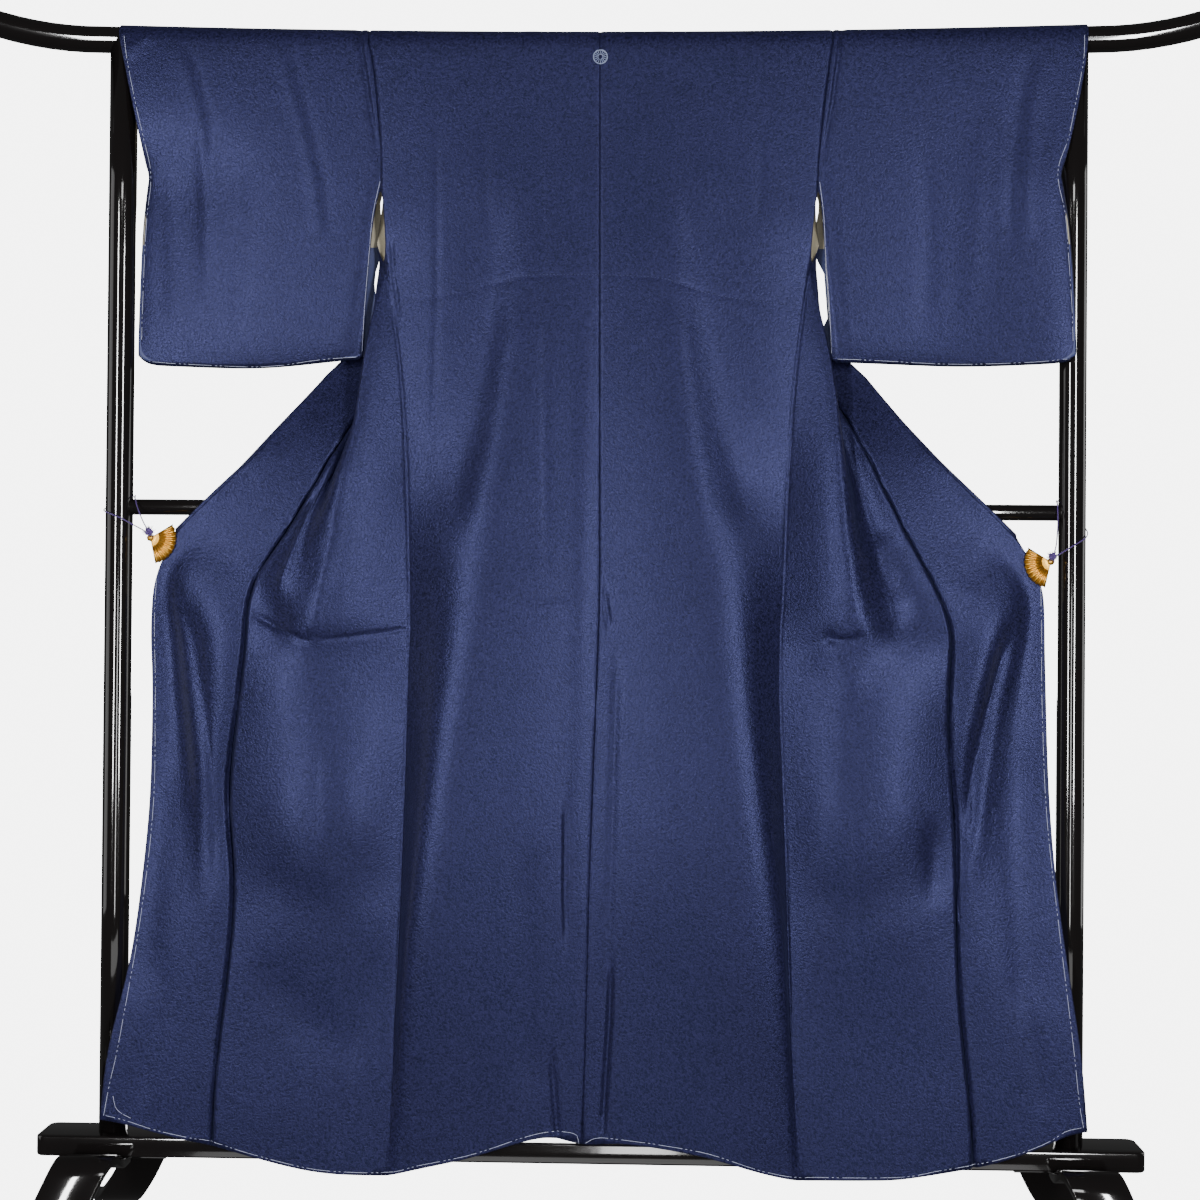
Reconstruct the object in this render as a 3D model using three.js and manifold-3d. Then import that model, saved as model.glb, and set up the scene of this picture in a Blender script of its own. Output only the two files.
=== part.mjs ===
// A lined silk kimono, seen from its back, laid over the top rail of a black
// lacquered kimono rack with both fronts swung open to the sides.
// Millimetres. +X to the right, +Y away from the viewer, +Z up, origin on the floor
// under the middle of the rack.
import * as THREE from 'three';
import { mergeVertices } from 'three/addons/utils/BufferGeometryUtils.js';
import Module from 'manifold-3d';

const wasm = await Module();
wasm.setup();

// ---- cloth ----
const WALL = 2.0;              // silk, interlining and lining together
const SEAM = 0.3;              // gap between two sewn pieces
const NECK = 90;               // half width of the neck slit
const NECK_OPEN = 0.8;         // how far its ends part from one row to the next
const DRAPE_R = 21.6;          // middle of the cloth round the top rail

// ---- rack ----
const RAIL_R = 19;
const RAIL_Z = 1728;           // rail axis at mid span
const RAIL_RISE = 10;          // how much higher the axis is at RAIL_SPAN
const RAIL_SPAN = 700;
const RAIL_BEND = 525;         // radius of the upturned ends
const RAIL_END = 925;
const POST_X = 689;
const POST_R = 20;
const MID_Z = 1056;
const MID_R = 11.5;
const PLANK = { length: 1582, width: 81, height: 29, bottom: 122.5, corner: 14 };
const LEG = { width: 80, rearWidth: 66, thick: 14, frontX: 699, rearX: 646 };

// ---- clips and cords ----
const CLIPS = {
  left: { x: -636, z: 1010, from: 32, to: -78 },
  right: { x: 654, z: 985, from: 148, to: 258 },
};
const FAN = { radius: 38, ribs: 10, scallop: 1.6, thick: 2.5, back: -27.5 };
const JAW = { radius: 30, front: -24.5, thick: 2.5 };
const BARREL_R = 5;
const KNOT_R = 5.9;            // a tied end of cord
const CORD_D = 2;

const paint = {
  silk: { color: '#30385f', roughness: 0.75, metalness: 0 },
  collar: { color: '#2c3459', roughness: 0.75, metalness: 0 },
  lacquer: { color: '#0d0b0c', roughness: 0.12, metalness: 0 },
  gold: { color: '#c39a4e', roughness: 0.35, metalness: 1 },
  cord: { color: '#4a2c63', roughness: 0.8, metalness: 0 },
};

const root = new THREE.Group();

function addMesh(name, geometry, look) {
  const mesh = new THREE.Mesh(geometry, new THREE.MeshStandardMaterial(paint[look]));
  mesh.name = name;
  root.add(mesh);
  return mesh;
}

// ---------------------------------------------------------------- numbers

const lerp = (a, b, t) => a + (b - a) * t;

// Straight interpolation in a table of [x, y] rows with rising or falling x.
function along(rows, x) {
  const list = rows[0][0] < rows[rows.length - 1][0] ? rows : [...rows].reverse();
  if (x <= list[0][0]) return list[0][1];
  for (let i = 1; i < list.length; i++) {
    const [x0, y0] = list[i - 1];
    const [x1, y1] = list[i];
    if (x <= x1) return lerp(y0, y1, (x - x0) / (x1 - x0));
  }
  return list[list.length - 1][1];
}

const railZ = (x) => {
  const bend = Math.max(0, Math.abs(x) - RAIL_SPAN - 20);
  const span = Math.min(Math.abs(x), RAIL_SPAN + 20);
  return RAIL_Z + RAIL_RISE * (span / RAIL_SPAN) ** 2 + bend * bend / (2 * RAIL_BEND);
};

// ---------------------------------------------------------------- sections

// Rows over the rail, as angles from its near side, and rows below it, as heights.
const ARC = [90, 60, 30, 0];
const UPPER = [1700, 1640, 1590, 1537, 1480, 1440];
const LOWER = [1395, 1340, 1285, 1240, 1190, 1140, 1080, 1020, 960, 915, 885, 862, 830, 780,
  700, 620, 540, 460, 380, 300, 225, 160, 104];
const LEVELS = [...UPPER, ...LOWER];
const HEM_FROM = 460;          // below this height the rows close up towards the hem
const HEM_TO = 104;

// How far the hanging layers lie from the plane of the rail.
const HANG = [[1740, 21.6], [1700, 22], [1640, 21.5], [1590, 20.5], [1537, 19], [1480, 17],
  [1420, 14.5], [1350, 11], [1290, 6.5]];

const SIDES = {
  left: {
    sign: -1,
    centre: [[1742, -6], [926, -13], [553, -2], [211, 3], [147, 6]],
    armhole: [[1760, 329], [1700, 320], [1640, 314.5], [1590, 310], [1537, 308]],
    // back panel: height, brink of the valley x and y, back edge or side seam x and y
    back: [
      [1700, 203, -22, 320, -22], [1590, 200, -23, 310, -20.5], [1537, 196, -24, 308, -19],
      [1480, 180, -26, 304, -20], [1440, 165, -28, 301, -18], [1395, 148, -30, 302, -14],
      [1340, 136, -32, 291, -16], [1285, 138, -35, 281, -18], [1240, 146, -38, 277, -18],
      [1190, 155, -41, 272, -20], [1140, 163, -44, 269, -20], [1080, 170, -48, 266.5, -21],
      [1020, 175, -51, 264, -21], [960, 180, -55, 262, -22], [915, 186, -58, 261, -22],
      [885, 190, -60, 260, -23], [862, 193, -61, 261, -23], [830, 199, -63, 262, -24],
      [780, 208, -66, 263, -24], [700, 218, -70, 264, -26], [620, 228, -72, 265.5, -29],
      [540, 239, -73, 267.5, -32], [460, 249, -72, 269, -35], [380, 256, -68, 272, -39],
      [300, 259, -63, 275, -43], [225, 260, -58, 279, -46], [104, 263, -54, 284, -48],
    ],
    // front panel: height, edge or side seam x y, ridge x y, hollow x y, okumi seam x y
    front: [
      [1700, 320, 22, 248, 22, 177, 22, 105, 22], [1640, 314.5, 21.5, 250, 22, 186, 22, 122, 23],
      [1590, 310, 20.5, 254, 22, 198, 22, 142, 26], [1537, 308, 19, 250, 22, 184, 24, 172, 46],
      [1480, 313, 14, 262, 20, 172, 22, 198, 52], [1440, 317, 2, 290, 16, 170, 20, 222, 48],
      [1395, 302, -14, 315, -1, 182, 18, 240, 44], [1340, 291, -16, 321, -21, 205, 20, 262, 42],
      [1285, 281, -18, 328.5, -28, 240, 22, 290, 36], [1240, 277, -18, 334, -32, 270, 20, 316, 24],
      [1190, 272, -20, 342, -38, 305, 12, 345, 6], [1140, 269, -20, 350, -44, 345, -2, 372, -10],
      [1080, 266.5, -21, 359, -50, 380, -16, 405, -20], [1020, 264, -21, 372, -56, 410, -20, 439, -27],
      [960, 262, -22, 383, -60, 435, -28, 481, -34], [915, 261, -22, 393, -62, 450, -36, 493, -39],
      [885, 260, -23, 400, -62, 455, -42, 494, -41], [862, 261, -23, 402, -55, 452, -46, 495, -42],
      [830, 262, -24, 392, -51, 450, -51, 498, -42], [780, 263, -24, 372, -52, 446, -54, 503, -41],
      [700, 264, -26, 345, -54, 432, -56, 514, -40], [620, 265.5, -29, 345, -57, 432, -58, 518, -40],
      [540, 267.5, -32, 346, -57, 430, -57, 506, -42], [460, 269, -35, 346, -53, 430, -52, 508, -44],
      [380, 272, -39, 352, -48, 436, -47, 515, -45], [300, 275, -43, 356, -47, 440, -46, 523, -46],
      [225, 279, -46, 360, -50, 446, -49, 530, -48], [104, 284, -48, 364, -53, 450, -52, 537, -50],
    ],
    // overlap panel: height, crest x y, foot x y, free edge x y
    okumi: [
      [1440, 223, 48, 224.5, 48, 226, 48], [1395, 246, 45, 252, 47, 258, 48],
      [1340, 273, 43, 284, 45, 296, 46], [1285, 304, 36, 317, 36, 331, 36],
      [1240, 334, 23, 350, 21, 368, 18], [1190, 370, 4, 396, 1, 422, -2],
      [1140, 406, -12, 441, -14, 476, -16], [1080, 450, -22, 495, -24, 539, -26],
      [1020, 492, -27, 546, -26, 598, -26], [960, 596, -34, 612, -26, 631, -26],
      [915, 585, -42, 604, -25, 634, -24], [885, 575, -46, 600, -24, 635, -24],
      [862, 571, -48, 597, -24, 635, -24], [830, 565, -50, 594, -24, 633, -24],
      [780, 557, -52, 589, -26, 631, -25], [700, 548, -54, 580, -28, 631.5, -28],
      [620, 540, -52, 569, -32, 633, -30], [540, 536, -48, 560, -38, 640, -34],
      [460, 545, -46, 580, -44, 648, -38], [380, 558, -46, 605, -44, 657, -42],
      [300, 572, -46, 625, -45, 672, -44], [225, 580, -48, 636, -47, 687, -46],
      [104, 590, -50, 645, -49, 695, -48],
    ],
    hem: [[6, 150], [16, 164], [50, 167], [90, 158], [130, 144], [172, 131], [237, 117],
      [284, 104.5], [355, 106], [405, 112], [478, 129], [537, 146], [561, 149], [615, 160],
      [659, 173], [695, 178]],
    // sleeve: height, inner edge x, outer edge x near layer, outer edge x far layer
    sleeve: [
      [1760, 329, 692, 692], [1700, 320, 683, 683], [1640, 314.5, 671, 671], [1590, 310, 660, 658],
      [1537, 308, 651, 651], [1480, 319.5, 658.5, 658.5], [1420, 325, 660.5, 660.5],
      [1350, 331, 663, 663], [1290, 334.5, 664, 664],
    ],
    sleeveHem: [[336, 1273], [401, 1266], [457, 1258], [509, 1256], [606, 1260], [653, 1261]],
    cuffY: 0,                  // where the closed outer edge of the sleeve hangs
    cuffFar: [[1700, 22.6], [1640, 22.6], [1590, 19], [1537, 0]],
    cuffNear: [[1700, -22.6], [1640, -22.6], [1590, -19], [1537, 0]],
  },
  right: {
    sign: 1,
    centre: [[1742, 6], [926, 13], [553, 2], [211, -3], [147, -6]],
    armhole: [[1760, 341], [1700, 335.5], [1640, 330], [1590, 324], [1537, 321]],
    back: [
      [1700, 206, -22, 335.5, -22], [1590, 202, -23, 324, -20.5], [1537, 198, -24, 321, -19],
      [1480, 186, -26, 316, -20], [1440, 174, -28, 312, -18], [1395, 160, -30, 310, -14],
      [1340, 150, -32, 301, -16], [1285, 148, -34, 294, -18], [1240, 150, -36, 289, -18],
      [1190, 153, -39, 285.5, -20], [1140, 160, -42, 283, -20], [1080, 173, -45, 280, -21],
      [1020, 187, -49, 278, -21], [960, 200, -52, 276, -22], [915, 206, -55, 274, -22],
      [885, 210, -57, 271, -23], [862, 212, -58, 271, -23], [830, 216, -60, 270.5, -24],
      [780, 222, -63, 270, -24], [700, 233, -67, 274.5, -26], [620, 244, -70, 277.5, -29],
      [540, 256, -71, 280.5, -32], [460, 267, -70, 283, -35], [380, 274, -66, 285, -39],
      [300, 277, -62, 289, -43], [225, 281, -58, 293, -46], [104, 287, -54, 303, -48],
    ],
    front: [
      [1700, 335.5, 22, 259, 22, 182, 22, 105, 22], [1640, 330, 21.5, 261, 22, 192, 22, 122, 23],
      [1590, 324, 20.5, 264, 22, 203, 22, 142, 26], [1537, 321, 19, 258, 22, 188, 24, 174, 46],
      [1480, 319, 14, 268, 20, 176, 22, 200, 52], [1440, 325, 2, 298, 16, 174, 20, 224, 48],
      [1395, 310, -14, 323, -1, 186, 18, 243, 44], [1340, 301, -16, 327, -21, 208, 20, 266, 42],
      [1285, 294, -18, 338, -28, 244, 22, 296, 36], [1240, 289, -18, 346, -33, 278, 20, 330, 24],
      [1190, 285.5, -20, 354, -39, 322, 10, 366, 2], [1140, 283, -20, 356, -46, 362, -2, 392, -14],
      [1080, 280, -21, 359, -52, 384, -16, 420, -26], [1020, 278, -21, 365, -58, 402, -18, 449, -34],
      [960, 276, -22, 371, -62, 414, -22, 482, -42], [915, 274, -22, 376, -64, 428, -32, 503, -46],
      [885, 271, -23, 380, -63, 440, -40, 511, -46], [862, 271, -23, 378, -56, 445, -46, 512, -46],
      [830, 270.5, -24, 366, -52, 445, -52, 511, -44], [780, 270, -24, 354, -52, 445, -56, 508, -42],
      [700, 274.5, -26, 352, -54, 440, -58, 511, -40], [620, 277.5, -29, 352, -56, 440, -59, 519, -41],
      [540, 280.5, -32, 354, -57, 442, -58, 522, -42], [460, 283, -35, 358, -54, 446, -54, 522, -44],
      [380, 285, -39, 360, -50, 446, -50, 524, -46], [300, 289, -43, 364, -48, 450, -48, 531, -47],
      [225, 293, -46, 368, -50, 454, -50, 539, -49], [104, 303, -48, 378, -53, 462, -53, 550, -51],
    ],
    okumi: [
      [1440, 225, 48, 227, 48, 229, 48], [1395, 249, 45, 255, 47, 261, 48],
      [1340, 278, 43, 290, 45, 302, 46], [1285, 311, 36, 325, 36, 338, 36],
      [1240, 348, 23, 364, 21, 379, 18], [1190, 388, 2, 410, 0, 428, -2],
      [1140, 420, -16, 452, -16, 480, -16], [1080, 462, -25, 504, -25, 542, -26],
      [1020, 502, -30, 552, -26, 603, -26], [960, 600, -32, 614, -26.5, 645, -26],
      [915, 603, -42, 619, -26, 646, -24], [885, 602, -46, 617, -26, 647, -24],
      [862, 598, -48, 612, -26, 647, -24], [830, 590, -50, 604, -26, 648, -25],
      [780, 575, -52, 592, -27, 649, -26], [700, 548, -52, 574, -30, 651, -28],
      [620, 540, -48, 562, -35, 655, -31], [540, 540, -46, 572, -40, 661, -35],
      [460, 552, -46, 600, -43, 672, -39], [380, 568, -47, 620, -44, 681, -42],
      [300, 580, -47, 636, -46, 691, -44], [225, 590, -49, 644, -47, 699, -46],
      [104, 600, -51, 652, -50, 706, -48],
    ],
    hem: [[-6, 150], [20, 159], [80, 154], [105, 151], [173, 140], [246, 118], [303, 107],
      [323, 108], [442, 111], [495, 120], [550, 130], [591, 140], [629, 153], [655, 165],
      [676, 178], [706, 182]],
    sleeve: [
      [1760, 341, 705, 705], [1700, 335.5, 702, 690], [1640, 330, 691, 672], [1590, 324, 681, 662],
      [1537, 321, 666, 666], [1480, 328.5, 677, 677], [1420, 332, 682, 682],
      [1350, 338, 687, 687], [1290, 342, 689, 689],
    ],
    sleeveHem: [[345, 1271], [407, 1269], [516, 1264], [624, 1265], [679, 1268]],
    cuffY: -25.4,
    cuffFar: [[1700, 23.5], [1640, 26], [1590, 12], [1537, -25.4]],
    cuffNear: [[1700, -22.6], [1640, -22.8], [1590, -24], [1537, -25.4]],
  },
};

// One value out of a table of rows that start with a height, smoothed between rows.
function column(rows, z, k) {
  const pick = rows.map((row) => [row[0], row[k]]);
  return along(pick, z);
}

// A soft curve through the points, sampled with a given number of steps in each stretch.
function section(points, steps) {
  const curve = new THREE.CatmullRomCurve3(points, false, 'centripetal');
  const out = [];
  steps.forEach((count, k) => {
    for (let i = 0; i < count; i++) out.push(curve.getPoint((k + i / count) / steps.length));
  });
  out.push(curve.getPoint(1));
  return out;
}

// Height of the row in a column: level above HEM_FROM, closing on the hem below it.
function rowHeight(side, x, level) {
  if (level >= HEM_FROM) return level;
  const hem = along(side.hem, Math.abs(x));
  return lerp(hem, HEM_FROM, (level - HEM_TO) / (HEM_FROM - HEM_TO));
}

function place(side, points, level) {
  return points.map((p) => {
    const x = side.sign * p.x;
    return new THREE.Vector3(x, p.y, rowHeight(side, p.x, level));
  });
}

const BACK_STEPS = [4, 4, 4];
const FRONT_STEPS = [3, 3, 2];
const OKUMI_STEPS = [2, 1, 2];

// Back panel, from the centre seam to the armhole edge or the side seam.
function backRow(side, level) {
  const centre = along(side.centre, level);
  const [vx, vy, sx, sy] = [1, 2, 3, 4].map((k) => column(side.back, level, k));
  const full = Math.min(1, Math.max(0, (1500 - level) / 600));
  const cy = lerp(-22, -50, Math.min(1, Math.max(0, (1600 - level) / 1100)));
  const pts = [
    new THREE.Vector3(centre, cy, 0),
    new THREE.Vector3(centre + (vx - centre) * lerp(0.44, 0.55, full), lerp(cy, vy, 0.75) - 2 * full, 0),
    new THREE.Vector3(vx, vy, 0),
    new THREE.Vector3(sx, sy, 0),
  ];
  return place(side, section(pts, BACK_STEPS), level);
}

// Front panel, from the armhole edge or the side seam to the neck or the okumi seam.
function frontRow(side, level) {
  const v = [1, 2, 3, 4, 5, 6, 7, 8].map((k) => column(side.front, level, k));
  const pts = [0, 2, 4, 6].map((k) => new THREE.Vector3(v[k], v[k + 1], 0));
  return place(side, section(pts, FRONT_STEPS), level);
}

function okumiRow(side, level) {
  const v = [1, 2, 3, 4, 5, 6].map((k) => column(side.okumi, level, k));
  const kx = column(side.front, level, 7);
  const ky = column(side.front, level, 8);
  const pts = [new THREE.Vector3(kx, ky, 0)];
  [0, 2, 4].forEach((k) => pts.push(new THREE.Vector3(v[k], v[k + 1], 0)));
  return place(side, section(pts, OKUMI_STEPS), level);
}

// A row of points that lies round the rail at an angle from its near side.
function railRow(xs, angle) {
  const a = THREE.MathUtils.degToRad(angle);
  return xs.map((x) => new THREE.Vector3(
    x, -DRAPE_R * Math.cos(a), railZ(x) + DRAPE_R * Math.sin(a),
  ));
}

function shoulderXs(side) {
  const edge = along(side.armhole, 1760);
  const xs = [];
  for (let k = 0; k <= 4; k++) xs.push(lerp(6 * side.sign * side.sign, NECK, k / 4));
  xs[0] = side.sign < 0 ? -6 : 6;
  for (let k = 1; k <= 8; k++) xs.push(lerp(NECK, edge, k / 8));
  return xs.map((x) => side.sign * x);
}

// ---------------------------------------------------------------- sewn cloth

const key = (p) => [p.x, p.y, p.z].map((v) => v.toFixed(3)).join(' ');
const normals = new Map();     // one normal for each place, shared by all pieces that meet there
const panels = new Map();

// A patch is a grid of points. Its quads turn from a row to the next and then along the row,
// or the other way round on the mirrored side, so that the outside faces out.
function addPatch(panel, grid, flip, alias) {
  if (!panels.has(panel)) panels.set(panel, { points: new Map(), quads: [] });
  const { points, quads } = panels.get(panel);
  const patch = quads.length;
  const name = (i, j) => alias(i, j) ?? `${patch}:${i}:${j}`;
  grid.forEach((row, i) => row.forEach((p, j) => points.set(name(i, j), p)));
  for (let i = 0; i + 1 < grid.length; i++) {
    for (let j = 0; j + 1 < grid[i].length; j++) {
      const q = [name(i, j), name(i + 1, j), name(i + 1, j + 1), name(i, j + 1)];
      if (flip) q.reverse();
      quads.push(q);
      const [a, b, c, d] = q.map((k) => points.get(k));
      const n = new THREE.Vector3().subVectors(c, a).cross(new THREE.Vector3().subVectors(d, b));
      n.normalize();
      [a, b, c, d].forEach((p) => {
        const k = key(p);
        if (!normals.has(k)) normals.set(k, new THREE.Vector3());
        normals.get(k).add(n);
      });
    }
  }
}

// Boundary edges of a panel, each with the unit vector in the cloth that points into the panel.
function boundary({ points, quads }) {
  const used = new Map();
  quads.forEach((q) => q.forEach((a, i) => {
    const b = q[(i + 1) % 4];
    used.set(`${a}|${b}`, { a, b, q });
  }));
  const edges = [];
  used.forEach(({ a, b, q }) => {
    if (used.has(`${b}|${a}`)) return;
    const pa = points.get(a);
    const pb = points.get(b);
    const middle = q.reduce((s, k) => s.add(points.get(k)), new THREE.Vector3()).multiplyScalar(0.25);
    const line = new THREE.Vector3().subVectors(pb, pa).normalize();
    const inward = middle.sub(new THREE.Vector3().addVectors(pa, pb).multiplyScalar(0.5));
    inward.addScaledVector(line, -inward.dot(line));
    edges.push({ a, b, inward });
  });
  return edges;
}

// Closed solid of a panel: both faces and the cut edges, half a seam gap inside its outline.
function panelSolid(panel) {
  const { points, quads } = panels.get(panel);
  const edges = boundary(panels.get(panel));
  const shifts = new Map();
  edges.forEach(({ a, b, inward }) => [a, b].forEach((k) => {
    const n = normals.get(key(points.get(k))).clone().normalize();
    const u = inward.clone().addScaledVector(n, -inward.dot(n)).normalize();
    shifts.set(k, [...(shifts.get(k) ?? []), u]);
  }));
  const index = new Map();
  const position = [];
  points.forEach((p, k) => {
    const n = normals.get(key(p)).clone().normalize();
    const at = p.clone();
    const u = shifts.get(k) ?? [];
    if (u.length === 2 && 1 + u[0].dot(u[1]) > 0.3) {
      at.addScaledVector(u[0].clone().add(u[1]).divideScalar(1 + u[0].dot(u[1])), SEAM / 2);
    }
    index.set(k, position.length / 3);
    const outer = at.clone().addScaledVector(n, WALL / 2);
    const inner = at.clone().addScaledVector(n, -WALL / 2);
    position.push(outer.x, outer.y, outer.z, inner.x, inner.y, inner.z);
  });
  const faces = [];
  const quadFaces = (a, b, c, d) => faces.push(a, b, c, a, c, d);
  quads.forEach((q) => {
    const at = q.map((k) => points.get(k));
    const turned = at[0].distanceTo(at[2]) > at[1].distanceTo(at[3]);
    const [a, b, c, d] = q.map((k) => index.get(k));
    if (turned) quadFaces(b, c, d, a);
    else quadFaces(a, b, c, d);
    if (turned) quadFaces(b + 1, a + 1, d + 1, c + 1);
    else quadFaces(a + 1, d + 1, c + 1, b + 1);
  });
  // A cut edge twists along a seam, so both pieces split it on the same diagonal.
  edges.forEach((e) => {
    const [a, b] = [index.get(e.a), index.get(e.b)];
    if (key(points.get(e.a)) < key(points.get(e.b))) quadFaces(a, a + 1, b + 1, b);
    else quadFaces(b, a, a + 1, b + 1);
  });
  const geometry = new THREE.BufferGeometry();
  geometry.setAttribute('position', new THREE.Float32BufferAttribute(position, 3));
  geometry.setIndex(faces);
  geometry.computeVertexNormals();
  return geometry;
}

const own = () => null;

function layBody(name, side) {
  const flip = side.sign < 0;
  const xs = shoulderXs(side);
  const back = [...ARC.map((angle) => railRow(xs, angle)), ...LEVELS.map((z) => backRow(side, z))];
  const frontXs = xs.slice(4).reverse();
  const spread = (k) => side.sign * NECK_OPEN * k;
  const front = ARC.map((angle, k) => {
    const row = frontXs.map((x, j) => (j === 8 ? x + spread(k) : x));
    return railRow(row, 180 - angle);
  });
  front.push(...LEVELS.map((z) => frontRow(side, z)));
  const panel = `body_${name}`;
  addPatch(panel, back, flip, (i, j) => (i === 0 ? `shoulder:${j}` : null));
  addPatch(panel, front, flip, (i, j) => (i === 0 ? `shoulder:${12 - j}` : null));
  const neck = [0, 1, 2].map((k) => {
    const row = xs.slice(0, 5).map((x, j) => (j === 4 ? x - spread(k) : x));
    return railRow(row, 90 + 30 * k);
  });
  addPatch(panel, neck, !flip, (i, j) => (i === 0 ? `shoulder:${j}` : null));
  return { back, front, neck };
}

function layOkumi(name, side) {
  const rows = LEVELS.filter((z) => z <= 1440).map((z) => okumiRow(side, z));
  addPatch(`okumi_${name}`, rows, side.sign < 0, own);
  return rows;
}

// ---------------------------------------------------------------- sleeves

const SLEEVE_AT = [0, 0.17, 0.34, 0.52, 0.7, 0.86, 0.962, 1];
const SLEEVE_LEVELS = [1700, 1640, 1590, 1537, 1480, 1420, 1350, 1290];
const SEWN_DOWN_TO = 1537;     // end of the armhole seam and of the wrist opening

const ease = (t) => t * t * (3 - 2 * t);

// One layer of a sleeve, from the rail down. near is -1 for the layer at the viewer's side.
function sleeveLayer(side, near, seam) {
  const outerX = near < 0 ? 2 : 3;
  const top = [column(side.sleeve, 1760, 1), column(side.sleeve, 1760, 2)];
  const xs = SLEEVE_AT.map((t) => side.sign * lerp(top[0], top[1], t));
  const rows = ARC.map((angle) => railRow(xs, near < 0 ? angle : 180 - angle));
  SLEEVE_LEVELS.forEach((z) => {
    const inner = column(side.sleeve, z, 1);
    const outer = column(side.sleeve, z, outerX);
    const hang = near * along(HANG, z);
    const cuff = along(near < 0 ? side.cuffNear : side.cuffFar, Math.max(z, SEWN_DOWN_TO));
    const closed = z <= SEWN_DOWN_TO;
    const apart = near * (closed ? 2.1 : 0);
    rows.push(SLEEVE_AT.map((t) => {
      const y = lerp(hang, cuff + apart, ease(Math.min(1, Math.max(0, (t - 0.5) / 0.45))));
      const onEdge = closed && t === 1;
      return new THREE.Vector3(side.sign * lerp(inner, outer, t), onEdge ? side.cuffY : y, z);
    }));
  });
  rows.push(SLEEVE_AT.map((t, j) => {
    const x = lerp(column(side.sleeve, 1290, 1) + 1, column(side.sleeve, 1290, 2), t);
    const z = j === 7 ? 1277 : along(side.sleeveHem, x);
    const y = lerp(0, side.cuffY, ease(Math.min(1, Math.max(0, (t - 0.5) / 0.45))));
    return new THREE.Vector3(side.sign * x, y, z);
  }));
  rows.forEach((row, i) => { if (i <= 7) row[0] = seam[i].clone(); });
  return rows;
}

function laySleeve(name, side, body) {
  const flip = side.sign < 0;
  const near = sleeveLayer(side, -1, body.back.map((row) => row[12]));
  const far = sleeveLayer(side, 1, body.front.map((row) => row[0]));
  const sewnRow = ARC.length + SLEEVE_LEVELS.indexOf(SEWN_DOWN_TO);
  const joined = (i, j) => {
    if (i === 0) return `fold:${j}`;
    if (i === near.length - 1) return `foot:${j}`;
    return i >= sewnRow && j === SLEEVE_AT.length - 1 ? `side:${i}` : null;
  };
  addPatch(`sleeve_${name}`, near, flip, joined);
  addPatch(`sleeve_${name}`, far, !flip, joined);
}

// ---------------------------------------------------------------- collar

// The seam line of the collar on one side, from the clip up to the back of the neck: each
// point with the direction in which the panel reaches it and the one in which the collar lies.
function collarLine(side, body, okumi) {
  const line = [];
  const add = (row, j, k, dir) => line.push({
    at: row[j],
    head: new THREE.Vector3().subVectors(row[j], k),
    dir: new THREE.Vector3(-side.sign * dir[0], dir[1], dir[2]),
  });
  LEVELS.filter((z) => z <= 1440 && z >= 1020).reverse().forEach((z) => {
    const row = okumi[LEVELS.indexOf(z) - LEVELS.indexOf(1440)];
    const slope = along([[1020, 0.75], [1240, 0.7], [1340, 0.35], [1440, 0.1]], z);
    add(row, 5, row[3], [1, 0, -slope]);
  });
  LEVELS.filter((z) => z > 1440).reverse().forEach((z) => {
    const row = body.front[ARC.length + LEVELS.indexOf(z)];
    add(row, 8, row[7], [1, 0, -along([[1480, 0], [1700, 0.35]], z)]);
  });
  add(body.front[3], 8, body.front[3][7], [1, 0, -0.6]);
  const [upper, last] = [body.neck[1], body.neck[2]];
  [4, 3, 2, 1, 0].forEach((j) => add(last, j, upper[j], [0.5 * (j / 4) ** 2, 0.45, -0.89]));
  return line;
}

// A row across the collar: on from the panel's edge, then round to the side where it lies.
const COLLAR_CELLS = [3, 3, 3, 14, 29];

function collarRow(line, i) {
  const { at, head, dir } = line[i];
  const next = line[Math.min(i + 1, line.length - 1)].at;
  const seam = new THREE.Vector3().subVectors(next, line[Math.max(i - 1, 0)].at).normalize();
  const square = (v) => v.clone().addScaledVector(seam, -v.dot(seam)).normalize();
  const [u, w] = [square(head), square(dir)];
  const v = new THREE.Vector3().crossVectors(u, seam);
  const angle = (Math.atan2(w.dot(v), w.dot(u)) + 2 * Math.PI) % (2 * Math.PI);
  const turn = angle > 1.5 * Math.PI ? 0 : Math.min(angle, Math.PI);
  const row = [at];
  COLLAR_CELLS.forEach((length, k) => {
    const a = turn * Math.min(1, k / 3);
    const step = u.clone().multiplyScalar(Math.cos(a)).addScaledVector(v, Math.sin(a));
    row.push(row[k].clone().addScaledVector(step, length));
  });
  return row;
}

// ---------------------------------------------------------------- solids

function strip(geometry) {
  const plain = geometry.clone();
  plain.deleteAttribute('normal');
  plain.deleteAttribute('uv');
  return mergeVertices(plain, 1e-4);
}

function toManifold(geometry) {
  const g = strip(geometry);
  return new wasm.Manifold(new wasm.Mesh({
    numProp: 3,
    vertProperties: new Float32Array(g.attributes.position.array),
    triVerts: new Uint32Array(g.index.array),
  }));
}

function fromManifold(solid) {
  const mesh = solid.getMesh();
  const g = new THREE.BufferGeometry();
  g.setAttribute('position', new THREE.BufferAttribute(new Float32Array(mesh.vertProperties), 3));
  g.setIndex(Array.from(mesh.triVerts));
  g.computeVertexNormals();
  return g;
}

// A rod of round section along a path.
function rod(points, radius, steps, sides) {
  const shape = new THREE.Shape();
  for (let k = 0; k < sides; k++) {
    const a = 2 * Math.PI * k / sides;
    const [x, y] = [radius * Math.cos(a), radius * Math.sin(a)];
    if (k === 0) shape.moveTo(x, y);
    else shape.lineTo(x, y);
  }
  shape.closePath();
  const path = new THREE.CatmullRomCurve3(points, false, 'centripetal');
  return strip(new THREE.ExtrudeGeometry(shape, { extrudePath: path, steps, bevelEnabled: false }));
}

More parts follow.
